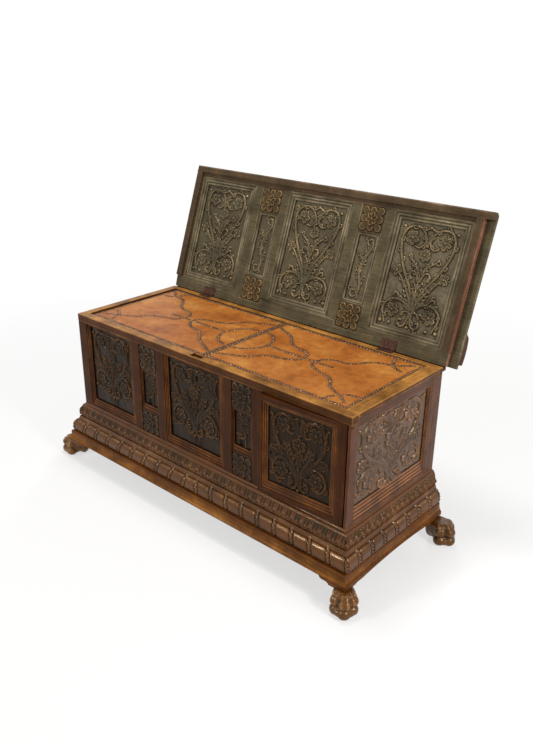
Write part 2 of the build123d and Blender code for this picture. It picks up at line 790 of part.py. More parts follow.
lid_bay_mouldings = []
lid_rosette_blocks = []
lid_field_back = -lid_panel_recess
for index in range(3):
    x0 = lid_field_x0 + index * (lid_panel_width + lid_bay_span)
    x1 = x0 + lid_panel_width
    lid_panels.append(block(x0, x1, opening_bottom, opening_top, lid_frame_back, lid_field_back))
    lid_panel_mouldings += mitred_frame(
        x0, x1, opening_bottom, opening_top, lid_field_back, (lid_moulding_width,) * 4, lid_panel_recess
    )
    if index < 2:
        bay_x0 = x1 + lid_muntin_width
        bay_x1 = bay_x0 + lid_bay_width
        for post_x0 in (x1, bay_x1):
            lid_frame.append(
                block(post_x0, post_x0 + lid_muntin_width, opening_bottom, opening_top, lid_frame_back, 0)
            )
        bay_bottom = opening_bottom - lid_bay_drop
        lid_frame[0] -= block(
            bay_x0, bay_x1, bay_bottom, opening_bottom + 1, lid_frame_back - 1, 1
        )
        lid_bay_boards.append(
            block(bay_x0, bay_x1, bay_bottom, opening_top, lid_frame_back, lid_field_back)
        )
        low_top = bay_bottom + lid_block_height
        high_bottom = opening_top - lid_block_height
        for y0, y1 in ((bay_bottom, low_top), (high_bottom, opening_top)):
            plate = rosette_block(bay_x0, bay_x1, y0, y1, lid_field_back, lid_block_rise)
            lid_rosette_blocks.append(plate)
        lid_bay_mouldings += mitred_frame(
            bay_x0, bay_x1, low_top, high_bottom, lid_field_back, lid_bay_moulding_sides, lid_block_rise,
            bevelled_profile,
        )
strip_y1 = lid_top - lid_top_strip
top_strip = block(lid_x0, lid_x1, strip_y1, lid_top, 0, lid_strip_rise)
top_strip += block(lid_frame_x1, lid_x1, strip_y1, lid_top, lid_frame_back, 0)
top_strip = fillet(
    top_strip.edges().filter_by(Axis.X).group_by(Axis.Z)[-1].sort_by(Axis.Y)[-1:], lid_strip_rise * 0.6
)
left_strip = block(lid_x0, lid_x0 + lid_left_strip, opening_bottom, strip_y1, 0, lid_strip_rise)
right_strip = block(lid_frame_x1 - lid_right_strip, lid_frame_x1, opening_bottom, strip_y1, 0, lid_strip_rise)
batten = outline(
    (0, 0),
    (batten_height, 0),
    (batten_height - batten_thickness * 0.5, -batten_thickness * 0.7),
    ((batten_height * 0.4, -batten_thickness), (0, -batten_thickness * 0.85)),
)
batten_plane = Plane(origin=(lid_x0, 0, lid_back), x_dir=(0, 1, 0), z_dir=(1, 0, 0))
lid_batten = batten_plane * prism(batten, lid_x1 - lid_x0)

# ---- lid hinges -------------------------------------------------------------
# A lower half screwed to the back rail carries the pin; the upper half turns on it with the lid.
lower_hinges = []
hinge_pins = []
upper_hinges = []
hinge_bore = hinge_pin_radius + pin_clearance
relief = hinge_barrel_radius + hinge_play


def x_rod(radius, x0, x1, y, z):
    return rod(radius, (x0, y, z), (1, 0, 0), x1 - x0)


for place in hinge_positions:
    x0, x1 = place - hinge_width / 2, place + hinge_width / 2
    knuckle_x0, knuckle_x1 = place - hinge_knuckle / 2, place + hinge_knuckle / 2
    lower = block(x0, x1, back_y - hinge_leaf_length, hinge_y, 0, hinge_leaf_thickness)
    lower += x_rod(hinge_barrel_radius, x0, x1, hinge_y, hinge_z)
    lower -= block(
        knuckle_x0 - hinge_play, knuckle_x1 + hinge_play, hinge_y - relief, hinge_y + relief,
        -1, hinge_z + relief,
    )
    lower -= x_rod(hinge_pin_radius, x0 - 1, x1 + 1, hinge_y, hinge_z)
    lower_hinges.append(lower)
    hinge_pins.append(x_rod(hinge_pin_radius, x0, x1, hinge_y, hinge_z))
    closed_z = hinge_z + face_rise
    upper = block(
        x0, x1, hinge_y - lid_edge_setback - hinge_leaf_length, hinge_y,
        closed_z - hinge_leaf_thickness, closed_z,
    )
    upper += x_rod(hinge_barrel_radius, x0, x1, hinge_y, hinge_z)
    for side_x0, side_x1 in ((x0 - 1, knuckle_x0), (knuckle_x1, x1 + 1)):
        upper -= block(side_x0, side_x1, hinge_y - relief, hinge_y + relief, -1, closed_z + relief)
    upper -= x_rod(hinge_bore, x0 - 1, x1 + 1, hinge_y, hinge_z)
    upper_hinges.append(upper.rotate(Axis((0, hinge_y, hinge_z), (-1, 0, 0)), lid_open_angle))

# ---- nodes ------------------------------------------------------------------
write("front_top_rail", front_top_rail)
write("back_top_rail", back_top_rail)
write("left_top_rail", left_top_rail)
write("right_top_rail", right_top_rail)
write("front_corner_stile", corner_stile, front)
write("front_muntins", muntins, front)
write("door_strike_stile", strike_stile, front)
write("front_bottom_rail", bottom_rail, front)
write("front_panel_left", panel_left, front)
write("front_panel_centre", panel_centre, front)
write("front_panel_mouldings", panel_mouldings, front)
write("front_bay_boards", bay_boards, front)
write("front_bay_mouldings", bay_mouldings, front)
write("front_rosette_blocks", rosette_blocks, front)
write("right_end_frame", right_frame, right_end)
write("right_end_panel", right_panel, right_end)
write("right_end_moulding", right_moulding, right_end)
write("left_end_frame", mirrored([right_end * solid for solid in left_frame]))
write("left_end_panel", mirrored([right_end * left_panel]))
write("left_end_moulding", mirrored([right_end * solid for solid in left_moulding]))
write("back_board", back_board)
write("bottom_board", bottom_board)
write("leaf_ledges", ledges)
write("seam_bearer", seam_bearer)
write("base_thumb_moulding", thumb_runs)
write("base_torus_moulding", torus_runs)
write("base_plinth", plinth_runs)
write("base_back_board", base_back)
for name, place in feet.items():
    write(name, foot(*place))
write("lid_hinge_lower_halves", lower_hinges)
write("lid_hinge_pins", hinge_pins)
write("leaf_left_board", left_board)
write("leaf_left_leather", left_leather)
write("leaf_left_pins", left_pins)
write("leaf_right_board", right_board)
write("leaf_right_leather", right_leather)
write("leaf_right_pins", right_pins)
door_nodes = {
    "door_frame": door_stiles + door_rails,
    "door_panel": door_panel,
    "door_moulding": door_moulding,
    "door_pivots": [pivot_top, pivot_bottom],
    "door_lock_case": lock_case,
    "lock_bolt": bolt,
}
for name, solids in door_nodes.items():
    write(name, solids, front)
    nodes[name] = [
        solid.rotate(Axis((pivot_x, pivot_y, 0), (0, 0, 1)), door_rest_angle) for solid in nodes[name]
    ]
write("lid_board", lid_board, lid)
write("lid_frame", lid_frame, lid)
write("lid_panels", lid_panels, lid)
write("lid_panel_mouldings", lid_panel_mouldings, lid)
write("lid_bay_boards", lid_bay_boards, lid)
write("lid_bay_mouldings", lid_bay_mouldings, lid)
write("lid_rosette_blocks", lid_rosette_blocks, lid)
write("lid_rim_strips", [top_strip, left_strip, right_strip], lid)
write("lid_batten", lid_batten, lid)
write("lid_hinge_upper_halves", upper_hinges)

# The origin is the middle of the footprint of the whole chest with its lid open, on the floor.
whole = Compound([solid for solids in nodes.values() for solid in solids]).bounding_box()
to_origin = Pos(-(whole.min.X + whole.max.X) / 2, -(whole.min.Y + whole.max.Y) / 2, -whole.min.Z)

os.makedirs("parts", exist_ok=True)
for name, solids in nodes.items():
    placed = [to_origin * solid for solid in solids]
    export_step(placed[0] if len(placed) == 1 else Compound(placed), f"parts/{name}.step")

# Places that a record of the moving parts needs, in the shifted frame.
shift = to_origin.position
angle = math.radians(door_rest_angle)
print("shift", shift.X, shift.Y, shift.Z)
print("lid hinge axis", shift.X, hinge_y + shift.Y, hinge_z + shift.Z)
print("door pivot", pivot_x + shift.X, pivot_y + shift.Y, shift.Z)
for axis_x, axis_z in (left_axis, right_axis):
    print("leaf axis", axis_x + shift.X, axis_z + shift.Z)
print("bolt direction", -math.cos(angle), -math.sin(angle))
print("foot centres", [(place[3] + shift.X, place[4] + shift.Y) for place in feet.values()])
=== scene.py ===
"""Looks of a carved walnut cassone with paw feet, a nailed leather top and a raised lid."""
import json
import math

import bmesh
import bpy
import numpy as np
from mathutils import Matrix, Vector


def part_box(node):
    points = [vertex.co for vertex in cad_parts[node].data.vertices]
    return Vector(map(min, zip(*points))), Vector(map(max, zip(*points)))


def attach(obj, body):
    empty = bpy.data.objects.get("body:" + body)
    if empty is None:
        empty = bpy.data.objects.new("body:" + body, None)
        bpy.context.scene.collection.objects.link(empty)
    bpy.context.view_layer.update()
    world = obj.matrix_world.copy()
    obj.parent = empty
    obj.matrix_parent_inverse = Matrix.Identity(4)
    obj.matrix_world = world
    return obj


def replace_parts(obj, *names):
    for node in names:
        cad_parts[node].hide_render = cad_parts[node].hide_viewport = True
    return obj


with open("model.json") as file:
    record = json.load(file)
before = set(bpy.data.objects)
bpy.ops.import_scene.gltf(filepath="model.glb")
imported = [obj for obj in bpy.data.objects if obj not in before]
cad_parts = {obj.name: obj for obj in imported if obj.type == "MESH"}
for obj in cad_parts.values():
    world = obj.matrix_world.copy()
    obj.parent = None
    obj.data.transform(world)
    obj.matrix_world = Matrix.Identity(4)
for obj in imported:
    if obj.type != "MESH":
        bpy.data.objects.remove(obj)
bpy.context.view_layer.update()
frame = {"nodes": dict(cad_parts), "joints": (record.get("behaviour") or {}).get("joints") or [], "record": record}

# ---- real sizes, in millimetres ----
CARVING_STEP = 1.5
MOULDING_STEP = 10.0
EDGE_WEAR = 1.4
RAIL_WEAR = 2.0
PLAIN_WEAR = 0.8
EDGE_BAND = 3.0
NOTCH_BAND = 1.5
# The lid's timbers nearer than LID_REACH to LID_EDGE are drawn out to it, where the hinge pins are.
LID_EDGE = 203.8
LID_REACH = 13.1
LID_CORNER = 10.0
# The lid's top rail and left stile are handled; the rim is raw where it looks right, between RAW_RIM.
HANDLED_ABOVE = 1025.0
HANDLED_LEFT_OF = -600.0
RAW_RIM = (600.0, 640.0)
(_, rail_low_y, _), rail_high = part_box("front_top_rail")
CARCASS_WIDTH = 1250.0
CARCASS_DEPTH = 477.0
HALF_WIDTH = rail_high[0] * 1000
FRONT_Y = rail_low_y * 1000
BACK_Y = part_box("back_top_rail")[1][1] * 1000
CARCASS_TOP = rail_high[2] * 1000
CARCASS_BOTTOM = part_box("base_thumb_moulding")[1][2] * 1000
# The back rail's lip closes the gap under the raised lid, clear of the lid's swing; it is a dark block put where
# the gap shows only shade, as painted shade.
SHADE_LIP_LOW = np.array((-625.0, BACK_Y - 2.0, CARCASS_TOP - 16.0))
SHADE_LIP_HIGH = np.array((625.0, BACK_Y + 19.2, CARCASS_TOP - 4.5))
# A board taller than this has upright grain.
TALL_BOARD = 60.0
# Half sizes of the bare square round a keyhole, its rim, and the wood left behind the hole.
KEYHOLE_SQUARE = (19.0, 22.0)
KEYHOLE_RIM = 2.0
KEYHOLE_FLOOR = 1.5
LEATHER_STEP = 4.0
NAIL_PITCH = 12.5
NAIL_RADIUS = 6.0
NAIL_RISE = 2.6
NAIL_SINK = 0.5
# Beside a flap's hinged edge the leather and its nails lie lower, clear of the end rail as the flap turns.
HINGE_STRIP = 22.0
HINGE_DIP = 1.4
HINGE_NAIL_SINK = 2.75
# Water leaves: the middle of their row below the carcass, its half height, and for the front and the ends
# their pitch, their lean and where the first one stands.
LEAF_ROW = 34.0
LEAF_HALF = 17.0
FRONT_LEAVES = (35.0, 0.06, 0.0)
END_LEAVES = (27.0, 0.2, FRONT_Y + 12.0)
# Cushions of the torus: how many, their top and foot below the carcass, and the torus's greatest overhang.
LOBE_COUNT = 19
LOBE_COUNT_END = 8
LOBE_TOP = 70.0
LOBE_FOOT = 116.0
TORUS_REACH = 41.0
TWIST_PITCH = 11.0
COLLAR = 66.0
COLLAR_STEP = 7.0
COLLAR_INSET = 3.0
COLLAR_WEAR = 1.2
COLLAR_X = 672.0
COLLAR_CORNER = {-1: -339.19, 1: 191.81}
FOOT_HEIGHT = 80.0
PAW_LENGTH = (-38.0, 72.0)


# ---- small tools ----
def linear(hex_colour):
    """Linear colour of an sRGB hex value."""
    channels = [int(hex_colour[place:place + 2], 16) / 255 for place in (1, 3, 5)]
    return [c / 12.92 if c <= 0.04045 else ((c + 0.055) / 1.055) ** 2.4 for c in channels] + [1.0]


def add(tree, kind, inputs=None, stops=None, **settings):
    """Add one node with its settings; an input is a value or another node's output."""
    node = tree.nodes.new(kind)
    for name, value in settings.items():
        setattr(node, name, value)
    for key, value in (inputs or {}).items():
        if isinstance(value, bpy.types.NodeSocket):
            tree.links.new(value, node.inputs[key])
        else:
            node.inputs[key].default_value = value
    for place, (position, colour) in enumerate(stops or ()):
        elements = node.color_ramp.elements
        element = elements[place] if place < len(elements) else elements.new(position)
        element.position = position
        element.color = linear(colour) if isinstance(colour, str) else (colour, colour, colour, 1.0)
    return node


def new_tree(owner):
    """Emptied node tree of a material or a world."""
    owner.use_nodes = True
    owner.node_tree.nodes.clear()
    return owner.node_tree


def placed(name, data):
    """Object of a mesh, lamp or camera, put into the scene."""
    obj = bpy.data.objects.new(name, data)
    bpy.context.scene.collection.objects.link(obj)
    return obj


def made_plain(holder):
    """Mesh of an object with its modifiers applied; the object itself goes."""
    mesh = bpy.data.meshes.new_from_object(holder.evaluated_get(bpy.context.evaluated_depsgraph_get()))
    bpy.data.objects.remove(holder)
    return mesh


def per_metre(*sizes):
    """How often patterns of these sizes, in millimetres, repeat in a metre."""
    return tuple(1000 / size for size in sizes)


def smoothstep(value, low, high):
    """0 up to low, 1 from high, and a soft rise between."""
    t = np.clip((value - low) / (high - low), 0, 1)
    return t * t * (3 - 2 * t)


def blurred(field, radius):
    """Gaussian blur of a height map; radius is in cells."""
    reach = int(radius * 3) + 1
    kernel = np.exp(-0.5 * (np.arange(-reach, reach + 1) / radius) ** 2)
    kernel /= kernel.sum()
    for axis in (0, 1):
        padded = np.pad(field, [(reach, reach) if a == axis else (0, 0) for a in (0, 1)], mode="edge")
        field = np.apply_along_axis(np.convolve, axis, padded, kernel, mode="valid")
    return field


def smooth_path(points, spacing):
    """Even points along a Catmull-Rom curve, with the length up to each."""
    points = np.array(points, float)
    if len(points) == 2:
        dense = points[0] + np.linspace(0, 1, 40)[:, None] * (points[1] - points[0])
    else:
        padded = np.vstack([2 * points[0] - points[1], points, 2 * points[-1] - points[-2]])
        t = np.linspace(0, 1, 24, endpoint=False)[:, None]
        spans = []
        for a, b, c, d in zip(padded, padded[1:], padded[2:], padded[3:]):
            spans.append(0.5 * (2 * b + (c - a) * t + (2 * a - 5 * b + 4 * c - d) * t ** 2
                                + (3 * b - a - 3 * c + d) * t ** 3))
        dense = np.vstack(spans + [points[-1:]])
    lengths = np.r_[0, np.cumsum(np.hypot(*np.diff(dense, axis=0).T))]
    even = np.linspace(0, lengths[-1], max(2, int(lengths[-1] / spacing) + 1))
    return np.column_stack([np.interp(even, lengths, dense[:, axis]) for axis in (0, 1)]), even


# ---- poses: pieces are drawn with the lid and the door closed, then swung to where they rest ----
def swung_open(joint):
    """Turn of a hinged body from closed, its least angle, to where it rests."""
    place = Vector(joint["pos_m"])
    turn = Matrix.Rotation(math.radians(-joint["range_deg"][0]), 4, Vector(joint["axis"]))
    return Matrix.Translation(place) @ turn @ Matrix.Translation(-place)


joints = {joint["name"]: joint for joint in frame["joints"]}
rest_of = {
    "chest": Matrix.Identity(4),
    "leaf_left": Matrix.Identity(4),
    "leaf_right": Matrix.Identity(4),
    "lid": swung_open(joints["lid_hinge"]),
    "door": swung_open(joints["door_hinge"]),
}
node_body = {node: body for body, nodes in frame["record"]["behaviour"]["bodies"].items() for node in nodes}

# A face to carve: its right-hand, upward and outward directions with everything closed.
FRONT = np.array([(1, 0, 0), (0, 0, 1), (0, -1, 0)], float)
RIGHT_END = np.array([(0, 1, 0), (0, 0, 1), (1, 0, 0)], float)
LEFT_END = np.array([(0, -1, 0), (0, 0, 1), (-1, 0, 0)], float)
LID_INSIDE = np.array([(1, 0, 0), (0, -1, 0), (0, 0, -1)], float)


def closed_mesh(node):
    """Merged copy of a node's mesh, in metres, as it lies with everything closed."""
    mesh = bmesh.new()
    mesh.from_mesh(frame["nodes"][node].data)
    bmesh.ops.remove_doubles(mesh, verts=mesh.verts, dist=1e-6)
    mesh.transform(rest_of[node_body[node]].inverted())
    return mesh


def solids_in(mesh):
    """The separate solids of a mesh, each a set of its faces."""
    left, solids = set(mesh.faces), []
    for start in mesh.faces:
        if start in left:
            solid, edge_of = {start}, [start]
            left.remove(start)
            while edge_of:
                near = {other for edge in edge_of.pop().edges for other in edge.link_faces} & left
                left -= near
                solid |= near
                edge_of.extend(near)
            solids.append(solid)
    return solids


def solids_of(node):
    """Corners of each separate solid of a node, in millimetres, with everything closed."""
    mesh = closed_mesh(node)
    solids = [np.array([tuple(vert.co * 1000) for face in solid for vert in face.verts])
              for solid in solids_in(mesh)]
    mesh.free()
    return solids


def extent(corners, face):
    """A solid's limits along a face's three directions."""
    local = corners @ face.T
    return local.min(axis=0), local.max(axis=0)


def with_grain(mesh, members):
    """Give each face its board's own coordinates, the first along the grain, so that no two boards match.

    A member is the closed-pose direction of its grain, 0 to 2, plus 3 for each board before it.
    """
    mesh.attributes["position"].data.foreach_get("vector", spots := np.empty(len(mesh.vertices) * 3))
    mesh.loops.foreach_get("vertex_index", owners := np.empty(len(mesh.loops), int))
    member = np.repeat(members, [len(face.vertices) for face in mesh.polygons])
    spots = spots.reshape(-1, 3)[owners]
    turned = np.stack([spots[np.arange(len(spots)), (member + shift) % 3] for shift in range(3)], axis=-1)
    board = turned + (member // 3)[:, None] * np.array([0.617, 0.231, 0.389])
    mesh.attributes.new("board", "FLOAT_VECTOR", "CORNER").data.foreach_set("vector", board.reshape(-1))


def piece(name, points, faces, body, material, relief, members, crease):
    """Object of closed-pose points in millimetres, laid where it rests and riding on its body."""
    mesh = bpy.data.meshes.new(name)
    mesh.from_pydata((np.asarray(points) / 1000).tolist(), [], faces)
    mesh.attributes.new("relief", "FLOAT", "POINT").data.foreach_set("value", np.asarray(relief, float))
    mesh.attributes.new("member", "INT", "FACE").data.foreach_set("value", np.broadcast_to(members, len(faces)))
    tidy = bmesh.new()
    tidy.from_mesh(mesh)
    bmesh.ops.remove_doubles(tidy, verts=tidy.verts, dist=1e-6)
    bmesh.ops.recalc_face_normals(tidy, faces=tidy.faces)
    tidy.to_mesh(mesh)
    tidy.free()
    return finished(name, mesh, body, material, crease)


def finished(name, mesh, body, material, crease):
    """Object of a closed-pose mesh that carries its members, turned to where its body rests."""
    mesh.attributes["member"].data.foreach_get("value", members := np.empty(len(mesh.polygons), int))
    with_grain(mesh, members)
    mesh.attributes.remove(mesh.attributes["member"])
    mesh.transform(rest_of[body])
    mesh.shade_smooth()
    mesh.set_sharp_from_angle(angle=math.radians(crease))
    mesh.materials.append(material)
    obj = placed(name, mesh)
    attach(obj, body)
    return obj


def quads(rows, columns, closed_rows=False, closed_columns=False):
    """Faces of a grid of points, numbered row by row."""
    faces = []
    for i in range(rows if closed_rows else rows - 1):
        for j in range(columns if closed_columns else columns - 1):
            here, below, beside = i * columns, (i + 1) % rows * columns, (j + 1) % columns
            faces.append((here + j, here + beside, below + beside, below + j))
    return faces


# ---- finishes ----
def walnut(name, deep, body, bright, wax=0.0, gloss=0.15, rough=(0.6, 0.4), streak=0.5, mottle=0.45, glow=0.95):
    """Walnut: dark in the hollows, lighter on the heights, with streaks along each board.

    The colours go from the hollows over the flats to the heights, and rough from hollows to heights. The dark of
    the hollows is painted shade; the light of the heights is partly wear by hands and partly painted highlight.
    """
    material = bpy.data.materials.new(name)
    tree = new_tree(material)
    board = add(tree, "ShaderNodeAttribute", attribute_name="board").outputs["Vector"]
    relief = add(tree, "ShaderNodeAttribute", attribute_name="relief").outputs["Fac"]
    # Streaks are about 6 mm wide and 200 mm long; pores 1 mm wide, drawn at 2 mm so that they show.
    grain = add(tree, "ShaderNodeMapping", {"Vector": board, "Scale": per_metre(200, 6.25, 6.25)}).outputs[0]
    grain = add(tree, "ShaderNodeTexNoise", {"Vector": grain, "Scale": 1.0, "Detail": 6.0, "Roughness": 0.6,
                                             "Distortion": 0.5}).outputs[0]
    pores = add(tree, "ShaderNodeMapping", {"Vector": board, "Scale": per_metre(25, 2, 2)}).outputs[0]
    pores = add(tree, "ShaderNodeTexNoise", {"Vector": pores, "Scale": 1.0, "Detail": 2.0}).outputs[0]
    # Darker and lighter clouds are about 90 mm wide.
    cloud = add(tree, "ShaderNodeTexNoise", {"Vector": board, "Scale": 11.0, "Detail": 5.0,
                                             "Roughness": 0.65}).outputs[0]
    uneven = add(tree, "ShaderNodeMath", {0: cloud, 1: 0.6, 2: -0.3}, operation="MULTIPLY_ADD").outputs[0]
    tone = add(tree, "ShaderNodeMath", {0: relief, 1: uneven}, operation="ADD").outputs[0]
    # The relief carries painted light: deep in the hollows is painted shade, bright on the heights is partly wear
    # and partly painted highlight.
    colour = add(tree, "ShaderNodeValToRGB", {0: tone},
                 [(0.14, deep), (0.4, body), (0.62, body), (glow, bright)]).outputs[0]
    streaks = add(tree, "ShaderNodeValToRGB", {0: grain}, [(0.3, 1.0 - streak), (0.66, 1.0)]).outputs[0]
    blots = add(tree, "ShaderNodeValToRGB", {0: cloud}, [(0.3, 1.0 - mottle), (0.65, 1.0)]).outputs[0]
    open_pores = add(tree, "ShaderNodeValToRGB", {0: pores}, [(0.34, 0.62), (0.46, 1.0)]).outputs[0]
    for layer in (streaks, blots, open_pores):
        colour = add(tree, "ShaderNodeMix", {0: 1.0, 6: colour, 7: layer}, data_type="RGBA",
                     blend_type="MULTIPLY").outputs[2]
    shine = add(tree, "ShaderNodeMath", {0: pores, 1: 0.4, 2: tone}, operation="MULTIPLY_ADD").outputs[0]
    roughness = add(tree, "ShaderNodeMapRange", {0: shine, 1: 0.4, 2: 1.0, 3: rough[0], 4: rough[1]}).outputs[0]
    height = add(tree, "ShaderNodeMath", {0: grain, 1: 0.8, 2: pores}, operation="MULTIPLY_ADD").outputs[0]
    bump = add(tree, "ShaderNodeBump", {"Height": height, "Strength": 0.4, "Distance": 0.0006}).outputs[0]
    shader = add(tree, "ShaderNodeBsdfPrincipled", {
        "Base Color": colour, "Roughness": roughness, "Normal": bump, "IOR": 1.5,
        "Specular IOR Level": gloss, "Specular Tint": (1.0, 0.8, 0.56, 1.0),
        "Coat Weight": wax, "Coat Roughness": 0.16, "Coat IOR": 1.4,
    })
    add(tree, "ShaderNodeOutputMaterial", {0: shader.outputs[0]})
    return material


def hide(name):
    """Cowhide: tan clouds, small creases and darker stains, dirt beside the nails."""
    material = bpy.data.materials.new(name)
    tree = new_tree(material)
    place = add(tree, "ShaderNodeTexCoord").outputs["Object"]
    # Clouds are 125 mm wide and stains about 26 mm.
    cloud = add(tree, "ShaderNodeTexNoise", {"Vector": place, "Scale": 8.0, "Detail": 8.0,
                                             "Roughness": 0.7}).outputs[0]
    stain = add(tree, "ShaderNodeTexNoise", {"Vector": place, "Scale": 38.0, "Detail": 6.0,
                                             "Roughness": 0.7}).outputs[0]
    # Pores of hide are under 1 mm, drawn at 1.5 mm so that they show.
    pores = add(tree, "ShaderNodeTexVoronoi", {"Vector": place, "Scale": 650.0}).outputs[0]
    relief = add(tree, "ShaderNodeAttribute", attribute_name="relief").outputs["Fac"]
    colour = add(tree, "ShaderNodeValToRGB", {0: cloud},
                 [(0.28, "#7A4016"), (0.43, "#9E5A20"), (0.56, "#AE6C2C"), (0.74, "#C68E4A")]).outputs[0]
    stained = add(tree, "ShaderNodeValToRGB", {0: stain}, [(0.3, 0.6), (0.52, 1.0)]).outputs[0]
    edges = add(tree, "ShaderNodeValToRGB", {0: relief}, [(0.0, 0.2), (0.55, 0.72), (0.9, 1.0)]).outputs[0]
    for share, layer in ((0.8, stained), (1.0, edges)):
        colour = add(tree, "ShaderNodeMix", {0: share, 6: colour, 7: layer}, data_type="RGBA",
                     blend_type="MULTIPLY").outputs[2]
    roughness = add(tree, "ShaderNodeMapRange", {0: stain, 1: 0.3, 2: 0.7, 3: 0.5, 4: 0.36}).outputs[0]
    grain = add(tree, "ShaderNodeMath", {0: stain, 1: 1.5, 2: pores}, operation="MULTIPLY_ADD").outputs[0]
    bump = add(tree, "ShaderNodeBump", {"Height": grain, "Strength": 0.3, "Distance": 0.0008}).outputs[0]
    shader = add(tree, "ShaderNodeBsdfPrincipled", {
        "Base Color": colour, "Roughness": roughness, "Normal": bump, "IOR": 1.5,
        "Specular IOR Level": 0.25, "Specular Tint": (1.0, 0.86, 0.66, 1.0),
    })
    add(tree, "ShaderNodeOutputMaterial", {0: shader.outputs[0]})
    return material


def tarnished(name, dark, bright, metallic, rough):
    """Old metal in two tones, in patches about 8 mm wide."""
    material = bpy.data.materials.new(name)
    tree = new_tree(material)
    place = add(tree, "ShaderNodeTexCoord").outputs["Object"]
    patch = add(tree, "ShaderNodeTexNoise", {"Vector": place, "Scale": 120.0, "Detail": 6.0,
                                             "Roughness": 0.7}).outputs[0]
    colour = add(tree, "ShaderNodeValToRGB", {0: patch}, [(0.4, dark), (0.62, bright)]).outputs[0]
    bump = add(tree, "ShaderNodeBump", {"Height": patch, "Strength": 0.5, "Distance": 0.0007}).outputs[0]
    shader = add(tree, "ShaderNodeBsdfPrincipled", {
        "Base Color": colour, "Roughness": rough, "Metallic": metallic, "Normal": bump,
    })
    add(tree, "ShaderNodeOutputMaterial", {0: shader.outputs[0]})
    return material


# Top rails: walnut planed flat, its wax rubbed off by hands. Light brown, with the grain open to view.
rail_wood = walnut("walnut_rubbed_bare", "#241206", "#5E3414", "#C88A42", rough=(0.6, 0.36))
# Front stiles, muntins and reeds: planed walnut under old polish. Dark red-brown, bright on the arrises.
stile_wood = walnut("walnut_old_polish", "#0C0501", "#4C2408", "#8C5220", gloss=0.13, rough=(0.55, 0.3))
# End frames: the same polish, rubbed more. Warmer and with a clearer shine.
end_wood = walnut("walnut_end_polish", "#140802", "#5A2C0E", "#A8642A", gloss=0.3, rough=(0.5, 0.26))
# Front carving: walnut cut with gouges, darkened by wax and dust, and deeper in the hollows by painted shade.
# Almost black ground, brown glossy tops, their light partly painted highlight.
front_carved = walnut("walnut_carved_front", "#040200", "#221002", "#70461A", gloss=0.2, rough=(0.5, 0.14),
                      streak=0.2)
# End carving: gouged walnut with fresh wax over it. Mid brown, with wet-looking lights on every edge.
end_carved = walnut("walnut_carved_end", "#0A0401", "#56300F", "#A4713C", wax=0.2, gloss=0.5, rough=(0.42, 0.2),
                    streak=0.2)
# Base mouldings: walnut planed to a section, then carved and waxed. Black in the cuts, grey-brown on the tops.
base_wood = walnut("walnut_base_carved", "#040200", "#6A3A10", "#B08858", gloss=0.45, rough=(0.36, 0.14),
                   streak=0.35)
# Plinth and collars: planed walnut, knocked and scrubbed. Orange-brown and nearly matt.
plinth_wood = walnut("walnut_plinth", "#1C0C04", "#764214", "#B0742F", rough=(0.55, 0.34))
# Paws: carved walnut, rounded by rubbing. Dark between the toes, which is painted shade, and light and smooth on
# them, the light partly wear and partly painted highlight.
paw_wood = walnut("walnut_paws", "#060300", "#6A4018", "#BA7E3E", gloss=0.45, rough=(0.42, 0.18), streak=0.25)
# Lid frame and mouldings inside: planed walnut that was never waxed. Dry, grey-green, in uneven blots.
lid_wood = walnut("walnut_dry", "#0C0804", "#62583F", "#AA9A7C", gloss=0.2, rough=(0.7, 0.4), streak=0.45,
                  mottle=0.6)
# Lid rim and outer rails: the same dry walnut, browned by hands.
lid_edges = walnut("walnut_dry_handled", "#0A0502", "#5A4630", "#927658", gloss=0.2, rough=(0.7, 0.4), streak=0.5,
                   mottle=0.6)
# Lid panels: dry walnut cut with gouges. Dusty green ground, with tops that catch the light, lighter partly from
# rubbing and partly as painted highlight.
lid_carved = walnut("walnut_dry_carved", "#0C0602", "#564E38", "#A0885E", gloss=0.28, rough=(0.5, 0.2), streak=0.2,
                    mottle=0.6, glow=1.05)
# Lid rosettes: gouged walnut that kept its brown, darker than the panels and lighter on the petals.
lid_rosettes = walnut("walnut_dry_rosettes", "#080401", "#46361E", "#9A7846", gloss=0.24, rough=(0.55, 0.3),
                      streak=0.15, glow=0.9)
# Lid outside and batten: planed walnut, darkened by age. Even brown and nearly matt.
lid_outside = walnut("walnut_lid_outside", "#1C0F08", "#4A2816", "#7E4B28")
# Raw edge of the rim: sawn softwood, never finished. Pinkish red and matt.
rim_wood = walnut("softwood_rim", "#55301F", "#9C6450", "#C98F74", rough=(0.7, 0.6))
# Back, bottom and undersides: plainly planed walnut, never finished. Mid brown and matt.
plain_wood = walnut("walnut_plain_inside", "#3A2414", "#6E4A2C", "#8E6238", rough=(0.7, 0.6))
# Flaps: vegetable-tanned cowhide, stretched, waxed and rubbed. Warm tan, cloudy, with a dull shine.
leather = hide("hide_tanned_waxed")
# Hinges, pins and lock: iron forged by hand. Near black, with brown rust in patches.
forged_iron = tarnished("iron_forged_rusted", "#1B1512", "#5A3018", 0.6, 0.6)
# Nails: cast brass heads, tarnished brown, bright only where the leather's wax is rubbed off them.
nail_brass = tarnished("brass_nails_darkened", "#2C1C14", "#86664A", 0.7, 0.36)


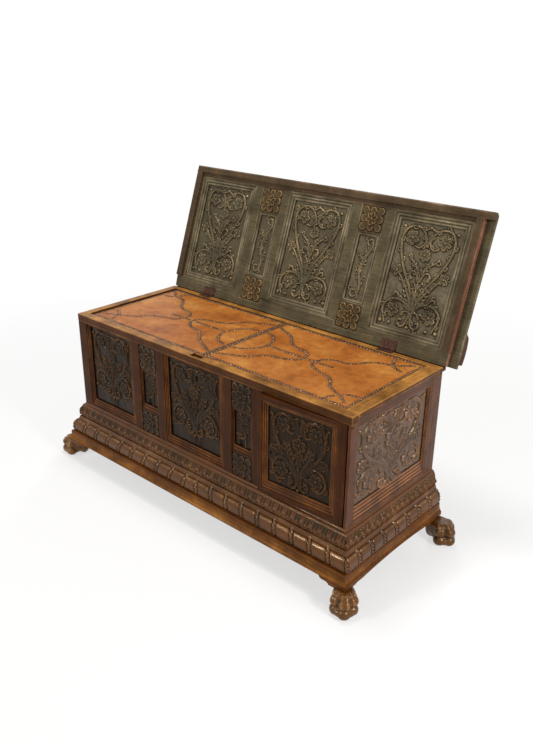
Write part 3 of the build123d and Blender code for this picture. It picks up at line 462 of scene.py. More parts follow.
# ---- carving ----
class Carving:
    """Height of a carved field above its ground, in millimetres; x is from its middle, y from its foot."""

    def __init__(self, width, height, seed):
        self.x = np.linspace(-width / 2, width / 2, round(width / CARVING_STEP) + 1)
        self.y = np.linspace(0, height, round(height / CARVING_STEP) + 1)
        self.height = np.zeros((len(self.y), len(self.x)))
        self.chance = np.random.default_rng(seed)

    def stroke(self, points, radii, rise, section="stem"):
        """Cut one member along a curve; radii and rise are spread evenly along it."""
        path, along = smooth_path(points, CARVING_STEP * 0.7)
        share = along / max(along[-1], 1e-6)
        radius = np.interp(share, np.linspace(0, 1, len(radii)), radii)
        top = np.interp(share, np.linspace(0, 1, len(rise)), rise)
        nearest = np.full(self.height.shape, np.inf)
        which = np.zeros(self.height.shape, int)
        for index, (x, y) in enumerate(path):
            reach = radius[index]
            rows = slice(*np.searchsorted(self.y, (y - reach, y + reach)))
            columns = slice(*np.searchsorted(self.x, (x - reach, x + reach)))
            distance = np.hypot(self.x[None, columns] - x, self.y[rows, None] - y) / reach
            closer = distance < nearest[rows, columns]
            nearest[rows, columns][closer] = distance[closer]
            which[rows, columns][closer] = index
        inside = nearest < 1
        t = nearest[inside]
        peak = top[which[inside]]
        if section == "stem":
            cut = peak * (0.84 * np.sqrt(1 - t * t) + 0.16 * np.cos(3 * math.pi * t))
        elif section == "leaf":
            cut = peak * (np.sqrt(1 - t * t) * (0.62 + 0.4 * t) + 0.34 * np.exp(-(t / 0.22) ** 2))
        elif section == "petal":
            cut = peak * (0.45 + 0.55 * t * t) * np.minimum(1, (1 - t) / 0.2)
        else:
            cut = peak * np.sqrt(1 - t * t)
        self.height[inside] = np.maximum(self.height[inside], cut)

    def bead(self, x, y, radius, rise):
        """Cut one round boss."""
        self.stroke([(x, y), (x + 0.1, y)], (radius,), (rise,), "round")

    def rosette(self, x, y, radius, rise, petals=5, turn=0.3):
        """Ring of cupped petals round a bead, with a leaf tip between each two."""
        centre = np.array([x, y])
        for index in range(petals):
            angle = turn + (index + self.chance.uniform(-0.08, 0.08)) * 2 * math.pi / petals
            away = np.array([math.cos(angle), math.sin(angle)]) * radius
            half_turn = angle + math.pi / petals
            between = np.array([math.cos(half_turn), math.sin(half_turn)]) * radius
            self.stroke([centre + between * 0.3, centre + between * 0.92], (radius * 0.16, radius * 0.09),
                        (rise * 0.7, rise * 0.45), "leaf")
            size = radius * self.chance.uniform(0.3, 0.35)
            self.stroke([centre + away * 0.2, centre + away * 0.62], (size * 0.5, size), (rise * 0.6, rise),
                        "petal")
        self.bead(x, y, radius * 0.2, rise)

    def acanthus(self, points, width, rise, lobes=5):
        """A leaf with hooked lobes on both sides of a ribbed middle."""
        path, _ = smooth_path(points, 1.0)
        for index in range(lobes):
            share = 0.08 + 0.84 * index / max(lobes - 1, 1)
            here = min(max(int(share * (len(path) - 1)), 1), len(path) - 2)
            tangent = path[here + 1] - path[here - 1]
            tangent /= np.hypot(*tangent)
            reach = width * (0.5 + 0.62 * math.sin(math.pi * min(share + 0.18, 1.0)))
            reach *= self.chance.uniform(0.9, 1.1)
            for side in (-1, 1):
                across = side * np.array([-tangent[1], tangent[0]])
                bend = path[here] + tangent * reach * 0.3 + across * reach * 0.58
                tip = path[here] + tangent * reach * 0.9 + across * reach * 0.78
                self.stroke([path[here], bend, tip], (width * 0.2, width * 0.27, width * 0.12),
                            (rise * 0.6, rise * 0.95, rise * 0.5), "leaf")
        self.stroke(points, (width * 0.26, width * 0.24, width * 0.12), (rise, rise * 1.05, rise * 0.8))

    def curls(self, points, spacing, length, radius, rise):
        """Small hooked leaves that leave a stem on alternate sides."""
        path, along = smooth_path(points, 1.0)
        side = 1
        for share in np.arange(spacing * 0.6, along[-1] - spacing * 0.4, spacing):
            here = int(np.searchsorted(along, share))
            tangent = path[min(here + 2, len(path) - 1)] - path[max(here - 2, 0)]
            tangent /= max(np.hypot(*tangent), 1e-6)
            across = side * np.array([-tangent[1], tangent[0]])
            reach = length * self.chance.uniform(0.8, 1.15)
            start = path[here]
            self.stroke([start, start + tangent * reach * 0.45 + across * reach * 0.55,
                         start + tangent * reach * 0.95 + across * reach * 0.6,
                         start + tangent * reach * 0.98 + across * reach * 0.28],
                        (radius * 0.8, radius, radius * 0.8, radius * 0.7),
                        (rise * 0.7, rise * 0.9, rise * 0.8), "leaf")
            side = -side

    def relief(self):
        """0 in the hollows, 0.5 on open ground and flats, 1 on high places: the dark hollows are painted shade,
        the light high places partly wear and partly painted highlight.
        """
        sharp = (self.height - blurred(self.height, 1.6)) / 1.6
        wide = (self.height - blurred(self.height, 5.0)) / 4.0
        return np.clip(0.5 + 0.5 * sharp + np.where(wide < 0, 0.36, 0.14) * wide, 0, 1)


# Plants are listed for the right half, in shares of the half width and of the height; widths are in millimetres.
TALL_PLANT = {
    "stems": [
        ([(0.02, 0.12), (0.10, 0.27), (0.23, 0.39), (0.43, 0.49), (0.64, 0.61), (0.81, 0.75), (0.84, 0.87),
          (0.69, 0.95), (0.43, 0.965), (0.2, 0.93), (0.05, 0.86)], (5.2, 4.6, 4.2, 3.8, 3.2)),
        ([(0.05, 0.87), (0.1, 0.81), (0.23, 0.775), (0.38, 0.785)], (3.0, 2.4)),
        ([(0.02, 0.16), (0.14, 0.222), (0.33, 0.262), (0.55, 0.272), (0.76, 0.252), (0.9, 0.2), (0.92, 0.14),
          (0.85, 0.08), (0.79, 0.035)], (4.6, 4.2, 3.8, 3.0)),
        ([(0.02, 0.16), (0.06, 0.09), (0.13, 0.045), (0.24, 0.028), (0.34, 0.055), (0.33, 0.09), (0.25, 0.085)],
         (4.4, 3.8, 3.0, 3.4)),
        ([(0.05, 0.17), (0.15, 0.178), (0.25, 0.16), (0.28, 0.135)], (3.2, 2.6, 4.2)),
        ([(0.4, 0.4), (0.56, 0.47), (0.68, 0.51)], (3.0, 2.6)),
        ([(0.04, 0.47), (0.09, 0.52), (0.2, 0.555), (0.31, 0.535), (0.31, 0.495), (0.24, 0.49)], (3.4, 3.0, 3.6)),
        ([(0.05, 0.55), (0.2, 0.615), (0.4, 0.665), (0.47, 0.69)], (3.2, 2.6, 4.2)),
        ([(0.45, 0.275), (0.56, 0.325), (0.66, 0.33), (0.68, 0.3)], (2.8, 3.2, 2.2)),
        ([(0.03, 0.8), (0.06, 0.85), (0.17, 0.885)], (3.6, 5.0, 2.6)),
        ([(0.05, 0.965), (0.16, 0.945), (0.3, 0.95)], (2.6, 3.4, 2.0)),
    ],
    "leaves": [
        ([(0.05, 0.2), (0.17, 0.3), (0.3, 0.37), (0.45, 0.46)], 15.0, 6),
        ([(0.03, 0.19), (0.16, 0.25), (0.33, 0.285)], 9.0, 4),
        ([(0.05, 0.53), (0.2, 0.61), (0.33, 0.655)], 8.0, 4),
        ([(0.02, 0.3), (0.06, 0.36), (0.13, 0.4)], 8.0, 2),
        ([(0.02, 0.39), (0.06, 0.43), (0.16, 0.46)], 8.0, 2),
    ],
    "rosettes": [(0.53, 0.855, 24, 5), (0.61, 0.165, 24, 5), (0.77, 0.535, 19, 4)],
    "beads": [(0.86, 0.95, 5), (0.93, 0.04, 6), (0.62, 0.035, 5), (0.47, 0.69, 4.5)],
    "middle_leaves": [([(0, 0.22), (0, 0.4), (0, 0.6)], 11.0, 5)],
    "middle_rosettes": [(0.715, 20, 6)],
    "middle_beads": [(0.97, 5), (0.03, 5), (0.8, 4)],
}
BROAD_PLANT = {
    "stems": [
        ([(0.04, 0.1), (0.1, 0.25), (0.3, 0.36), (0.56, 0.47), (0.74, 0.6), (0.83, 0.74), (0.82, 0.86),
          (0.68, 0.945), (0.46, 0.965), (0.25, 0.93), (0.12, 0.86), (0.12, 0.79), (0.24, 0.745), (0.38, 0.765)],
         (7.0, 6.5, 5.6, 5.0, 4.0, 3.2)),
        ([(0.05, 0.18), (0.22, 0.29), (0.4, 0.37), (0.6, 0.385), (0.79, 0.325), (0.87, 0.225), (0.79, 0.12),
          (0.62, 0.09), (0.46, 0.12)], (6.0, 5.4, 4.6, 3.6)),
        ([(0.03, 0.2), (0.04, 0.1), (0.12, 0.035), (0.24, 0.03), (0.31, 0.08), (0.26, 0.125), (0.18, 0.11)],
         (5.0, 4.6, 4.0)),
        ([(0.05, 0.2), (0.16, 0.235), (0.26, 0.215)], (3.4, 3.0, 5.0)),
        ([(0.56, 0.42), (0.68, 0.44), (0.78, 0.47)], (3.2, 2.8)),
        ([(0.68, 0.58), (0.76, 0.66), (0.72, 0.7)], (3.6, 3.0, 3.6)),
        ([(0.2, 0.93), (0.1, 0.955), (0.04, 0.95)], (3.4, 2.6)),
        ([(0.1, 0.9), (0.05, 0.83), (0.06, 0.75)], (7.0, 8.0, 3.0)),
        ([(0.84, 0.84), (0.89, 0.91), (0.93, 0.93)], (3.0, 3.0, 4.2)),
        ([(0.82, 0.14), (0.9, 0.11), (0.93, 0.13)], (3.0, 3.0, 4.2)),
    ],
    "leaves": [
        ([(0.07, 0.24), (0.2, 0.36), (0.33, 0.45), (0.41, 0.6)], 24.0, 6),
        ([(0.12, 0.25), (0.34, 0.36), (0.6, 0.47), (0.73, 0.55)], 15.0, 6),
        ([(0.1, 0.22), (0.26, 0.32), (0.45, 0.36)], 12.0, 4),
        ([(0.4, 0.95), (0.24, 0.91), (0.14, 0.84), (0.1, 0.76)], 12.0, 4),
    ],
    "rosettes": [(0.54, 0.83, 26, 5), (0.57, 0.235, 27, 5), (0.83, 0.47, 17, 5)],
    "beads": [(0.24, 0.08, 5)],
    "middle_leaves": [([(0, 0.1), (0, 0.3), (0, 0.44)], 15.0, 5)],
    "middle_rosettes": [(0.625, 25, 6), (0.48, 16, 5)],
    "middle_beads": [(0.02, 6), (0.75, 5)],
}


def carve_plant(carving, width, height, plant, rise, bold):
    """Cut a plant on both sides of its middle; bold scales its thicknesses."""
    half = width / 2
    for side in (-1, 1):
        def place(points):
            return [(side * x * half + carving.chance.uniform(-0.8, 0.8),
                     y * height + carving.chance.uniform(-0.8, 0.8)) for x, y in points]

        for points, radii in plant["stems"]:
            line = place(points)
            carving.stroke(line, [radius * bold for radius in radii], (rise * 0.75, rise, rise, rise * 0.85))
            carving.curls(line, 30.0 * bold, 14.0 * bold, 3.2 * bold, rise * 0.9)
        for points, spread, lobes in plant["leaves"]:
            carving.acanthus(place(points), spread * bold, rise * 0.95, lobes)
        for x, y, radius, petals in plant["rosettes"]:
            carving.rosette(*place([(x, y)])[0], radius * bold, rise * 1.05, petals, side * 0.5 + 0.3)
        for x, y, radius in plant["beads"]:
            carving.bead(*place([(x, y)])[0], radius * bold, rise)
    for points, spread, lobes in plant["middle_leaves"]:
        carving.acanthus([(x * half, y * height) for x, y in points], spread * bold, rise, lobes)
    for y, radius, petals in plant["middle_rosettes"]:
        carving.rosette(0, y * height, radius * bold, rise * 1.1, petals, 0.52)
    for y, radius in plant["middle_beads"]:
        carving.bead(0, y * height, radius * bold, rise)


def carve_s_scroll(carving, width, height, rise):
    """Upright S scroll with leaves, for a narrow field."""
    half = width / 2
    points = [(half * 0.3, height * 0.87), (half * 0.1, height * 0.93), (half * 0.55, height * 0.97),
              (half * 0.8, height * 0.88), (half * 0.45, height * 0.75), (0, height * 0.62),
              (-half * 0.15, height * 0.5), (0, height * 0.36), (half * 0.3, height * 0.22),
              (half * 0.15, height * 0.08), (-half * 0.4, height * 0.04),
              (-half * 0.6, height * 0.13), (-half * 0.2, height * 0.15)]
    carving.stroke(points, (3.6, 4.6, 5.6, 5.0, 3.8), (rise * 0.9, rise, rise * 0.9))
    carving.curls(points, 22.0, 15.0, 4.0, rise * 0.9)
    for place, lean in ((0.28, 1), (0.4, -1), (0.52, 1), (0.64, -1), (0.76, 1)):
        root = np.array([math.sin(place * 9) * half * 0.15, height * place])
        bend = root + (lean * half * 0.3, height * 0.05)
        tip = root + (lean * half * 0.5, height * 0.11)
        carving.acanthus([root, bend, tip], 11.0, rise * 0.9, 3)


def carve_square_rosette(carving, width, height, rise):
    """Flower that fills a square block: eight curled lobes, the longer ones into the corners, round a cup."""
    centre = np.array([0, height / 2])
    reach = min(width, height) / 2
    for index in range(8):
        angle = index * math.pi / 4
        corner = index % 2
        away = np.array([math.cos(angle) * width, math.sin(angle) * height]) / 2 * (0.94 if corner else 0.66)
        size = reach * (0.32 if corner else 0.34) * carving.chance.uniform(0.92, 1.08)
        carving.stroke([centre + away * 0.8, centre + away], (size * 0.9, size), (rise * 0.6, rise * 0.75),
                       "petal")
    carving.rosette(*centre, reach * 0.6, rise * 1.2, 6, 0.3)


def closed_slab(u, v, top, bottom, relief, side_relief):
    """Solid under a height map over u and v, with a flat back: its points, faces and relief."""
    rows, columns = top.shape
    grid_u, grid_v = np.meshgrid(u, v)
    front = np.stack([grid_u, grid_v, top], axis=-1).reshape(-1, 3)
    index = np.arange(rows * columns).reshape(rows, columns)
    ring = np.r_[index[0, :-1], index[:-1, -1], index[-1, :0:-1], index[:0:-1, 0]]
    back = front[ring].copy()
    back[:, 2] = bottom
    count, first = len(ring), rows * columns
    faces = quads(rows, columns)
    faces += [(int(ring[k]), first + k, first + (k + 1) % count, int(ring[(k + 1) % count])) for k in range(count)]
    faces.append(tuple(first + k for k in reversed(range(count))))
    return np.vstack([front, back]), faces, np.r_[relief.reshape(-1), np.full(count, side_relief)]


def carved_slab(name, corners, face, body, material, carve, seed, margins, plate):
    """Solid board whose outer face is carved inside its margins (left, right, bottom, top).

    A board with a keyhole gives the height of the bare square round it in place of None.
    """
    low, high = extent(corners, face)
    left, right, bottom, top = margins
    field = Carving(high[0] - low[0] - left - right, high[1] - low[1] - bottom - top, seed)
    carve(field, np.ptp(field.x), np.ptp(field.y))
    gouge = blurred(field.chance.standard_normal(field.height.shape), 2.5) * 1.2
    height = field.height + gouge * (field.height < 0.5)
    relief = field.relief()
    u = field.x + (low[0] + left + high[0] - right) / 2
    v = field.y + low[1] + bottom
    if plate is not None:
        local = corners @ face.T
        hole = local[((local[:, :2] > low[:2] + 1) & (local[:, :2] < high[:2] - 1)).all(axis=1), :2]
        (hole_left, hole_low), (hole_right, hole_high) = hole.min(axis=0), hole.max(axis=0)
        radius = (hole_right - hole_left) / 2
        aside, up = np.abs(u - (hole_left + hole_right) / 2)[None, :], v[:, None]
        away = np.abs(up - (hole_low + hole_high) / 2)
        bare = (aside < KEYHOLE_SQUARE[0]) & (away < KEYHOLE_SQUARE[1])
        height = np.where(bare, plate + gouge * 0.3, height)
        relief = np.where(bare, 0.55, relief)
        rim = bare & ((aside > KEYHOLE_SQUARE[0] - KEYHOLE_RIM) | (away > KEYHOLE_SQUARE[1] - KEYHOLE_RIM))
        relief = np.where(rim, 0.9 if plate else 0.5, relief)
        cut = (aside < radius * 0.6) & (up > hole_low) & (up < hole_high - radius)
        cut |= np.hypot(aside, up - hole_high + radius) < radius
        height = np.where(cut, low[2] - high[2] + KEYHOLE_FLOOR, height)
        # The keyhole is painted black inside: painted shade.
        relief = np.where(cut, 0.0, relief)
    points, faces, relief = closed_slab(
        np.r_[low[0], u, high[0]], np.r_[low[1], v, high[1]], high[2] + np.pad(height, 1), low[2],
        np.pad(relief, 1, constant_values=0.4), 0.4
    )
    grain = 2 if high[1] - low[1] > TALL_BOARD else 0
    return piece(name, points @ face, faces, body, material, relief, grain, 75)


def carve_node(node, face, material, carve, seeds, margins, plate=None):
    """Replace every board of a node with a carved one, in one object."""
    boards = [
        carved_slab(f"{node}_{number}", corners, face, node_body[node], material, carve, seeds + number, margins,
                    plate)
        for number, corners in enumerate(solids_of(node))
    ]
    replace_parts(join(boards, f"{node}_carved"), node)


def join(objects, name):
    """Merge objects into the first one."""
    first = objects[0]
    if len(objects) > 1:
        with bpy.context.temp_override(active_object=first, selected_editable_objects=objects):
            bpy.ops.object.join()
    first.name = name
    return first


# ---- planted mouldings ----
def reeds(count, lip, height, contrast):
    """Section across a moulding from its outer edge: (share of width, rise, relief). The relief is light on the
    crests and dark in the grooves and steps: painted highlight and painted shade.
    """
    section = [(0.0, 0.0, 0.3), (0.0, height, 0.7), (lip * 0.8, height, 0.6), (lip, height * 0.9, 0.2)]
    width = (1 - lip) / count
    for index in range(count):
        start = lip + index * width
        fall = height * (0.9 - 0.66 * index / count)
        for turn in np.linspace(0.12, 1.0, 6):
            angle = math.pi * turn
            section.append((start + width * (0.5 - 0.46 * math.cos(angle)),
                            fall * (0.82 - 0.12 * turn) + height * 0.18 * math.sin(angle),
                            0.5 + contrast * (math.sin(angle) ** 0.7 - 0.5)))
    section.append((1.0, height * 0.06, 0.1))
    section.append((1.0, 0.0, 0.1))
    return np.array(section)


def moulded_frame(name, low, high, sides, section, face, body, material):
    """Four mitred runs round a rectangle; sides are the widths left, right, bottom and top."""
    left, right, bottom, top = sides
    (u0, v0, back), (u1, v1, _) = low, high
    counts = [max(2, int((u1 - u0) / MOULDING_STEP)), max(2, int((v1 - v0) / MOULDING_STEP))] * 2
    chance = np.random.default_rng(len(name))
    columns = []
    for share, rise, _ in section:
        corners = np.array([(u0 + share * left, v0 + share * bottom), (u1 - share * right, v0 + share * bottom),
                            (u1 - share * right, v1 - share * top), (u0 + share * left, v1 - share * top)])
        runs = []
        for side in range(4):
            steps = np.arange(counts[side])[:, None] / counts[side]
            runs.append(corners[side] + steps * (corners[(side + 1) % 4] - corners[side]))
        ring = np.vstack(runs)
        wander = blurred(chance.standard_normal((1, len(ring))), 2.0)[0] * 0.12 * (rise > 0)
        columns.append(np.column_stack([ring, back + rise + wander]))
    grid = np.array(columns)
    count = grid.shape[1]
    points = grid.reshape(-1, 3) @ face
    relief = np.repeat(section[:, 2], count)
    across, upward = (int(np.abs(face[axis]).argmax()) for axis in (0, 1))
    side = np.repeat([across, upward + 3, across + 6, upward + 9], counts)
    members = np.tile(side, len(section))
    return piece(name, points, quads(len(section), count, True, True), body, material, relief, members, 50)


def mould_node(node, face, material, count, lip, sides, contrast):
    """Replace the mouldings of a node with reeded ones; runs that touch make one frame."""
    runs = [extent(corners, face) for corners in solids_of(node)]
    frames = []
    for low, high in runs:
        for group in frames:
            if (low[:2] <= group[1][:2] + 0.5).all() and (high[:2] >= group[0][:2] - 0.5).all():
                group[0] = np.minimum(group[0], low)
                group[1] = np.maximum(group[1], high)
                break
        else:
            frames.append([low, high])
    made = [
        moulded_frame(f"{node}_{number}", low, high, sides, reeds(count, lip, high[2] - low[2], contrast), face,
                      node_body[node], material)
        for number, (low, high) in enumerate(frames)
    ]
    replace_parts(join(made, f"{node}_reeded"), node)


# ---- frame timbers with worn edges ----
def worn_timber(node, material, wear=EDGE_WEAR, top_face_tone=0.5, arris=0.74):
    """Copy of a node with rounded arrises, bright from wear, and a lighter band beside each.

    Faces that look up in the closed chest are lightened as far as the value given for them, partly as wear by
    hands and partly as painted light from above. The lid's timbers reach back to the hinge pins, and their far
    corners are rounded.
    """
    mesh = closed_mesh(node)
    bmesh.ops.dissolve_limit(mesh, angle_limit=math.radians(1), verts=mesh.verts, edges=mesh.edges)
    if node in ("lid_frame", "lid_board"):
        for vert in mesh.verts:
            if vert.co.y * 1000 > LID_EDGE - LID_REACH:
                vert.co.y = LID_EDGE / 1000
    if node in ("lid_frame", "lid_board", "lid_rim_strips"):
        far = min(vert.co.y for vert in mesh.verts) + 1e-4
        ends = min(vert.co.x for vert in mesh.verts) + 1e-4, max(vert.co.x for vert in mesh.verts) - 1e-4
        corners = [edge for edge in mesh.edges if all(
            vert.co.y < far and not ends[0] < vert.co.x < ends[1] for vert in edge.verts
        ) and edge.calc_length() < 0.1]
        bmesh.ops.bevel(mesh, geom=corners, offset=LID_CORNER / 1000, segments=5, profile=0.5, affect="EDGES",
                        clamp_overlap=True)
    layer = mesh.verts.layers.float.new("relief")
    member = mesh.faces.layers.int.new("member")
    for number, solid in enumerate(solids_in(mesh)):
        spots = np.array([vert.co for face in solid for vert in face.verts])
        longest = int(np.ptp(spots, axis=0).argmax())
        for face in solid:
            face[member] = longest + 3 * number
    sharp = [edge for edge in mesh.edges if edge.is_manifold and edge.calc_face_angle() > math.radians(35)]
    bmesh.ops.bevel(mesh, geom=sharp, offset=wear / 1000, segments=2, profile=0.5, affect="EDGES",
                    clamp_overlap=True)
    for vert in mesh.verts:
        vert[layer] = arris
    if node == "back_top_rail":
        # The lip: a dark block standing for the shade in the gap under the raised lid.
        size, middle = (SHADE_LIP_HIGH - SHADE_LIP_LOW) / 1000, (SHADE_LIP_HIGH + SHADE_LIP_LOW) / 2000
        bmesh.ops.create_cube(mesh, size=1.0, matrix=Matrix.Translation(middle) @ Matrix.Diagonal((*size, 1.0)))
    for face in list(mesh.faces):
        span = 2 * face.calc_area() / face.calc_perimeter() * 1000
        if span > 3 and len(face.verts) < 60:
            notched = node == "front_top_rail" and face.normal.z > 0.7
            band = min(NOTCH_BAND if notched else EDGE_BAND, span * 0.3) / 1000
            bmesh.ops.inset_individual(mesh, faces=[face], thickness=band, use_even_offset=False)
            for vert in face.verts:
                # Faces that look up take their own tone: partly wear, partly painted light falling from above.
                vert[layer] = top_face_tone if face.normal.z > 0.7 else 0.5
    bmesh.ops.triangulate(mesh, faces=[face for face in mesh.faces if len(face.verts) > 4])
    data = bpy.data.meshes.new(f"{node}_worn")
    mesh.to_mesh(data)
    mesh.free()
    obj = finished(f"{node}_worn", data, node_body[node], material, 30)
    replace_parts(obj, node)
    return obj


def refinished(timber, finishes, choose):
    """Give a timber more finishes; choose picks one for each face, 0 for the timber's own."""
    for finish in finishes:
        timber.data.materials.append(finish)
    for face in timber.data.polygons:
        face.material_index = int(choose(face))


def inner_finish(face, elsewhere):
    """1 on the rim's raw edge that looks right, 2 on what hands have browned, 0 elsewhere."""
    middle = face.center * 1000
    if face.normal.x > 0.9 and RAW_RIM[0] < middle.x < RAW_RIM[1]:
        return 1
    return 2 if elsewhere or middle.z > HANDLED_ABOVE or middle.x < HANDLED_LEFT_OF else 0


for node in ("front_top_rail", "back_top_rail", "left_top_rail", "right_top_rail"):
    timber = worn_timber(node, rail_wood, RAIL_WEAR, 0.84, 0.92)
    if node == "back_top_rail":
        # Faces behind the back rail, the lip's among them, take the dark polished walnut: painted shade in the gap
        # under the lid.
        refinished(timber, [stile_wood], lambda face: face.center.y * 1000 > BACK_Y + 0.1)
for node in ("front_corner_stile", "front_muntins", "door_strike_stile", "front_bottom_rail", "door_frame"):
    worn_timber(node, stile_wood)
for node in ("right_end_frame", "left_end_frame"):
    worn_timber(node, end_wood)
worn_timber("lid_batten", lid_outside)
refinished(worn_timber("lid_frame", lid_wood), [rim_wood, lid_edges], lambda face: inner_finish(face, False))
refinished(worn_timber("lid_rim_strips", lid_wood), [rim_wood, lid_edges], lambda face: inner_finish(face, True))
outward = rest_of["lid"].to_3x3() @ Vector((0, 0, 1))
refinished(worn_timber("lid_board", lid_wood), [lid_outside], lambda face: face.normal.dot(outward) > 0.5)


def plant(layout, rise, bold):
    """Cutter of a plant, for a board of any size."""
    return lambda carving, width, height: carve_plant(carving, width, height, layout, rise, bold)


def scroll(carving, width, height):
    """Cutter of the narrow bays."""
    carve_s_scroll(carving, width, height, 5.0)


def flower(carving, width, height):
    """Cutter of the square blocks."""
    carve_square_rosette(carving, width, height, 7.0)


# Node, its face, finish, cutter, seed, margins (left, right, bottom, top) and a keyhole's bare square.
for carved in (
    ("front_panel_left", FRONT, front_carved, plant(BROAD_PLANT, 6.0, 0.92), 11, (24, 24, 36, 12)),
    ("front_panel_centre", FRONT, front_carved, plant(BROAD_PLANT, 6.0, 1.02), 12, (24, 24, 36, 12), 0.0),
    ("door_panel", FRONT, front_carved, plant(BROAD_PLANT, 6.0, 1.05), 13, (28, 26, 38, 16), 2.5),
    ("right_end_panel", RIGHT_END, end_carved, plant(BROAD_PLANT, 5.5, 1.5), 14, (6, 14, 4, 8)),
    ("left_end_panel", LEFT_END, end_carved, plant(BROAD_PLANT, 5.5, 1.5), 15, (14, 6, 4, 8)),
    ("lid_panels", LID_INSIDE, lid_carved, plant(TALL_PLANT, 6.0, 1.12), 16, (29, 29, 29, 29)),
    ("front_bay_boards", FRONT, front_carved, scroll, 21, (10, 10, 104, 88)),
    ("lid_bay_boards", LID_INSIDE, lid_carved, scroll, 26, (15, 15, 105, 105)),
    ("front_rosette_blocks", FRONT, front_carved, flower, 31, (2, 2, 2, 2)),
    ("lid_rosette_blocks", LID_INSIDE, lid_rosettes, flower, 36, (2, 2, 2, 2)),
):
    carve_node(*carved)

# Node, its face, finish, number of reeds, share of the lip, widths (left, right, bottom, top) and contrast of the
# painted highlight and shade on the reeds.
for moulded in (
    ("front_panel_mouldings", FRONT, stile_wood, 3, 0.2, (22, 22, 34, 10), 0.7),
    ("front_bay_mouldings", FRONT, stile_wood, 2, 0.25, (9, 9, 26, 9), 0.7),
    ("door_moulding", FRONT, stile_wood, 3, 0.2, (26, 24, 36, 14), 0.8),
    ("right_end_moulding", RIGHT_END, end_wood, 4, 0.2, (5, 12, 60, 6), 0.9),
    ("left_end_moulding", LEFT_END, end_wood, 4, 0.2, (12, 5, 60, 6), 0.9),
    ("lid_panel_mouldings", LID_INSIDE, lid_wood, 2, 0.26, (28, 28, 28, 28), 0.6),
    ("lid_bay_mouldings", LID_INSIDE, lid_wood, 1, 0.3, (14, 14, 14, 14), 0.6),
):
    mould_node(*moulded)


# ---- base: three mouldings that return along the ends ----
def arc(start, through, end, count=8):
    """Points of a circle's arc, the first left out."""
    (ax, ay), (bx, by), (cx, cy) = start, through, end
    d = 2 * (ax * (by - cy) + bx * (cy - ay) + cx * (ay - by))
    squares = ax * ax + ay * ay, bx * bx + by * by, cx * cx + cy * cy
    ox = (squares[0] * (by - cy) + squares[1] * (cy - ay) + squares[2] * (ay - by)) / d
    oy = (squares[0] * (cx - bx) + squares[1] * (ax - cx) + squares[2] * (bx - ax)) / d
    first, mid, last = (math.atan2(y - oy, x - ox) for x, y in (start, through, end))
    sweep = (last - first) % (2 * math.pi)
    if (mid - first) % (2 * math.pi) > sweep:
        sweep -= 2 * math.pi
    reach = math.hypot(ax - ox, ay - oy)
    return [(ox + reach * math.cos(first + sweep * k / count), oy + reach * math.sin(first + sweep * k / count))
            for k in range(1, count + 1)]


def base_moulding(name, section, carve, material, node, step):
    """Sweep a section (overhang, height) round the front and both ends, with carving on it."""
    section = np.array(section)
    across = np.gradient(section, axis=0)
    normal = np.column_stack([-across[:, 1], across[:, 0]])
    normal /= np.linalg.norm(normal, axis=1)[:, None]
    made = []
    for run in ("front", "right", "left"):
        length = 2 * HALF_WIDTH if run == "front" else BACK_Y - FRONT_Y
        steps = np.linspace(0, 1, int(length / step) + 1)
        grid = []
        relief = []
        for (reach, height), (out, up) in zip(section, normal):
            if run == "front":
                along = (2 * steps - 1) * (HALF_WIDTH + reach)
            else:
                along = FRONT_Y - reach + steps * (BACK_Y - FRONT_Y + reach)
            lift, tone = carve(along, height, run)
            reach_here, height_here = reach + out * lift, height + up * lift
            if run == "front":
                grid.append(np.column_stack([along, FRONT_Y - reach_here, height_here]))
            else:
                sign = 1 if run == "right" else -1
                grid.append(np.column_stack([sign * (HALF_WIDTH + reach_here), along, height_here]))
            relief.append(tone)
        grid = np.array(grid)
        rows, columns = grid.shape[:2]
        inner = grid[[0, -1]].copy()
        if run == "front":
            inner[:, :, 1] = FRONT_Y + 40
            inner[:, :, 0] *= (HALF_WIDTH - 40) / np.abs(inner[:, :1, 0])
        else:
            inner[:, :, 0] = np.sign(inner[:, :, 0]) * (HALF_WIDTH - 40)
            inner[:, 0, 1] = FRONT_Y + 40
        grid = np.vstack([inner[:1], grid, inner[1:]])
        relief = np.vstack([np.full((1, columns), 0.3), np.array(relief), np.full((1, columns), 0.3)])
        rows += 2
        faces = quads(rows, columns, closed_rows=True)
        faces.append(tuple(range(0, rows * columns, columns)))
        faces.append(tuple(range(columns - 1, rows * columns, columns)))
        made.append(piece(f"{name}_{run}", grid.reshape(-1, 3), faces, "chest", material, relief.reshape(-1),
                          0 if run == "front" else 1, 50))
    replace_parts(join(made, name), node)


def water_leaves(along, height, run):
    """Row of hanging water leaves on the thumb: hollow tongues with a bead low in each, and darts between."""
    pitch, lean, start = FRONT_LEAVES if run == "front" else END_LEAVES
    v = (height - (CARCASS_BOTTOM - LEAF_ROW)) / LEAF_HALF
    if abs(v) > 1.1:
        return np.zeros_like(along), np.full_like(along, 0.45 if v > 0 else 0.55)
    u = ((along - start) / pitch + 0.5 - lean * v) % 1 - 0.5
    half = 0.38 * math.sqrt(max(0.0, 1 - max(0.0, (0.15 - v) / 1.15) ** 2))
    rim = np.exp(-((np.abs(u) - half) / 0.085) ** 2) * (v < 0.95)
    vein = np.exp(-(u / 0.06) ** 2) * (v > -0.1)
    bead = np.exp(-((u / 0.15) ** 2 + ((v + 0.42) / 0.3) ** 2))
    dart = np.exp(-((np.abs(u) - 0.5) / 0.05) ** 2) * (v < 0.3)
    high = np.clip(rim + 0.7 * vein + bead + 0.7 * dart, 0, 1)
    fade = min(1.0, (1.1 - abs(v)) / 0.2)
    # The tone is lighter on the raised rims, veins, beads and darts and darker in the hollows: painted highlight
    # and painted shade.
    return fade * (5.0 * high - 3.6), 0.5 + fade * (0.62 * high - 0.4)


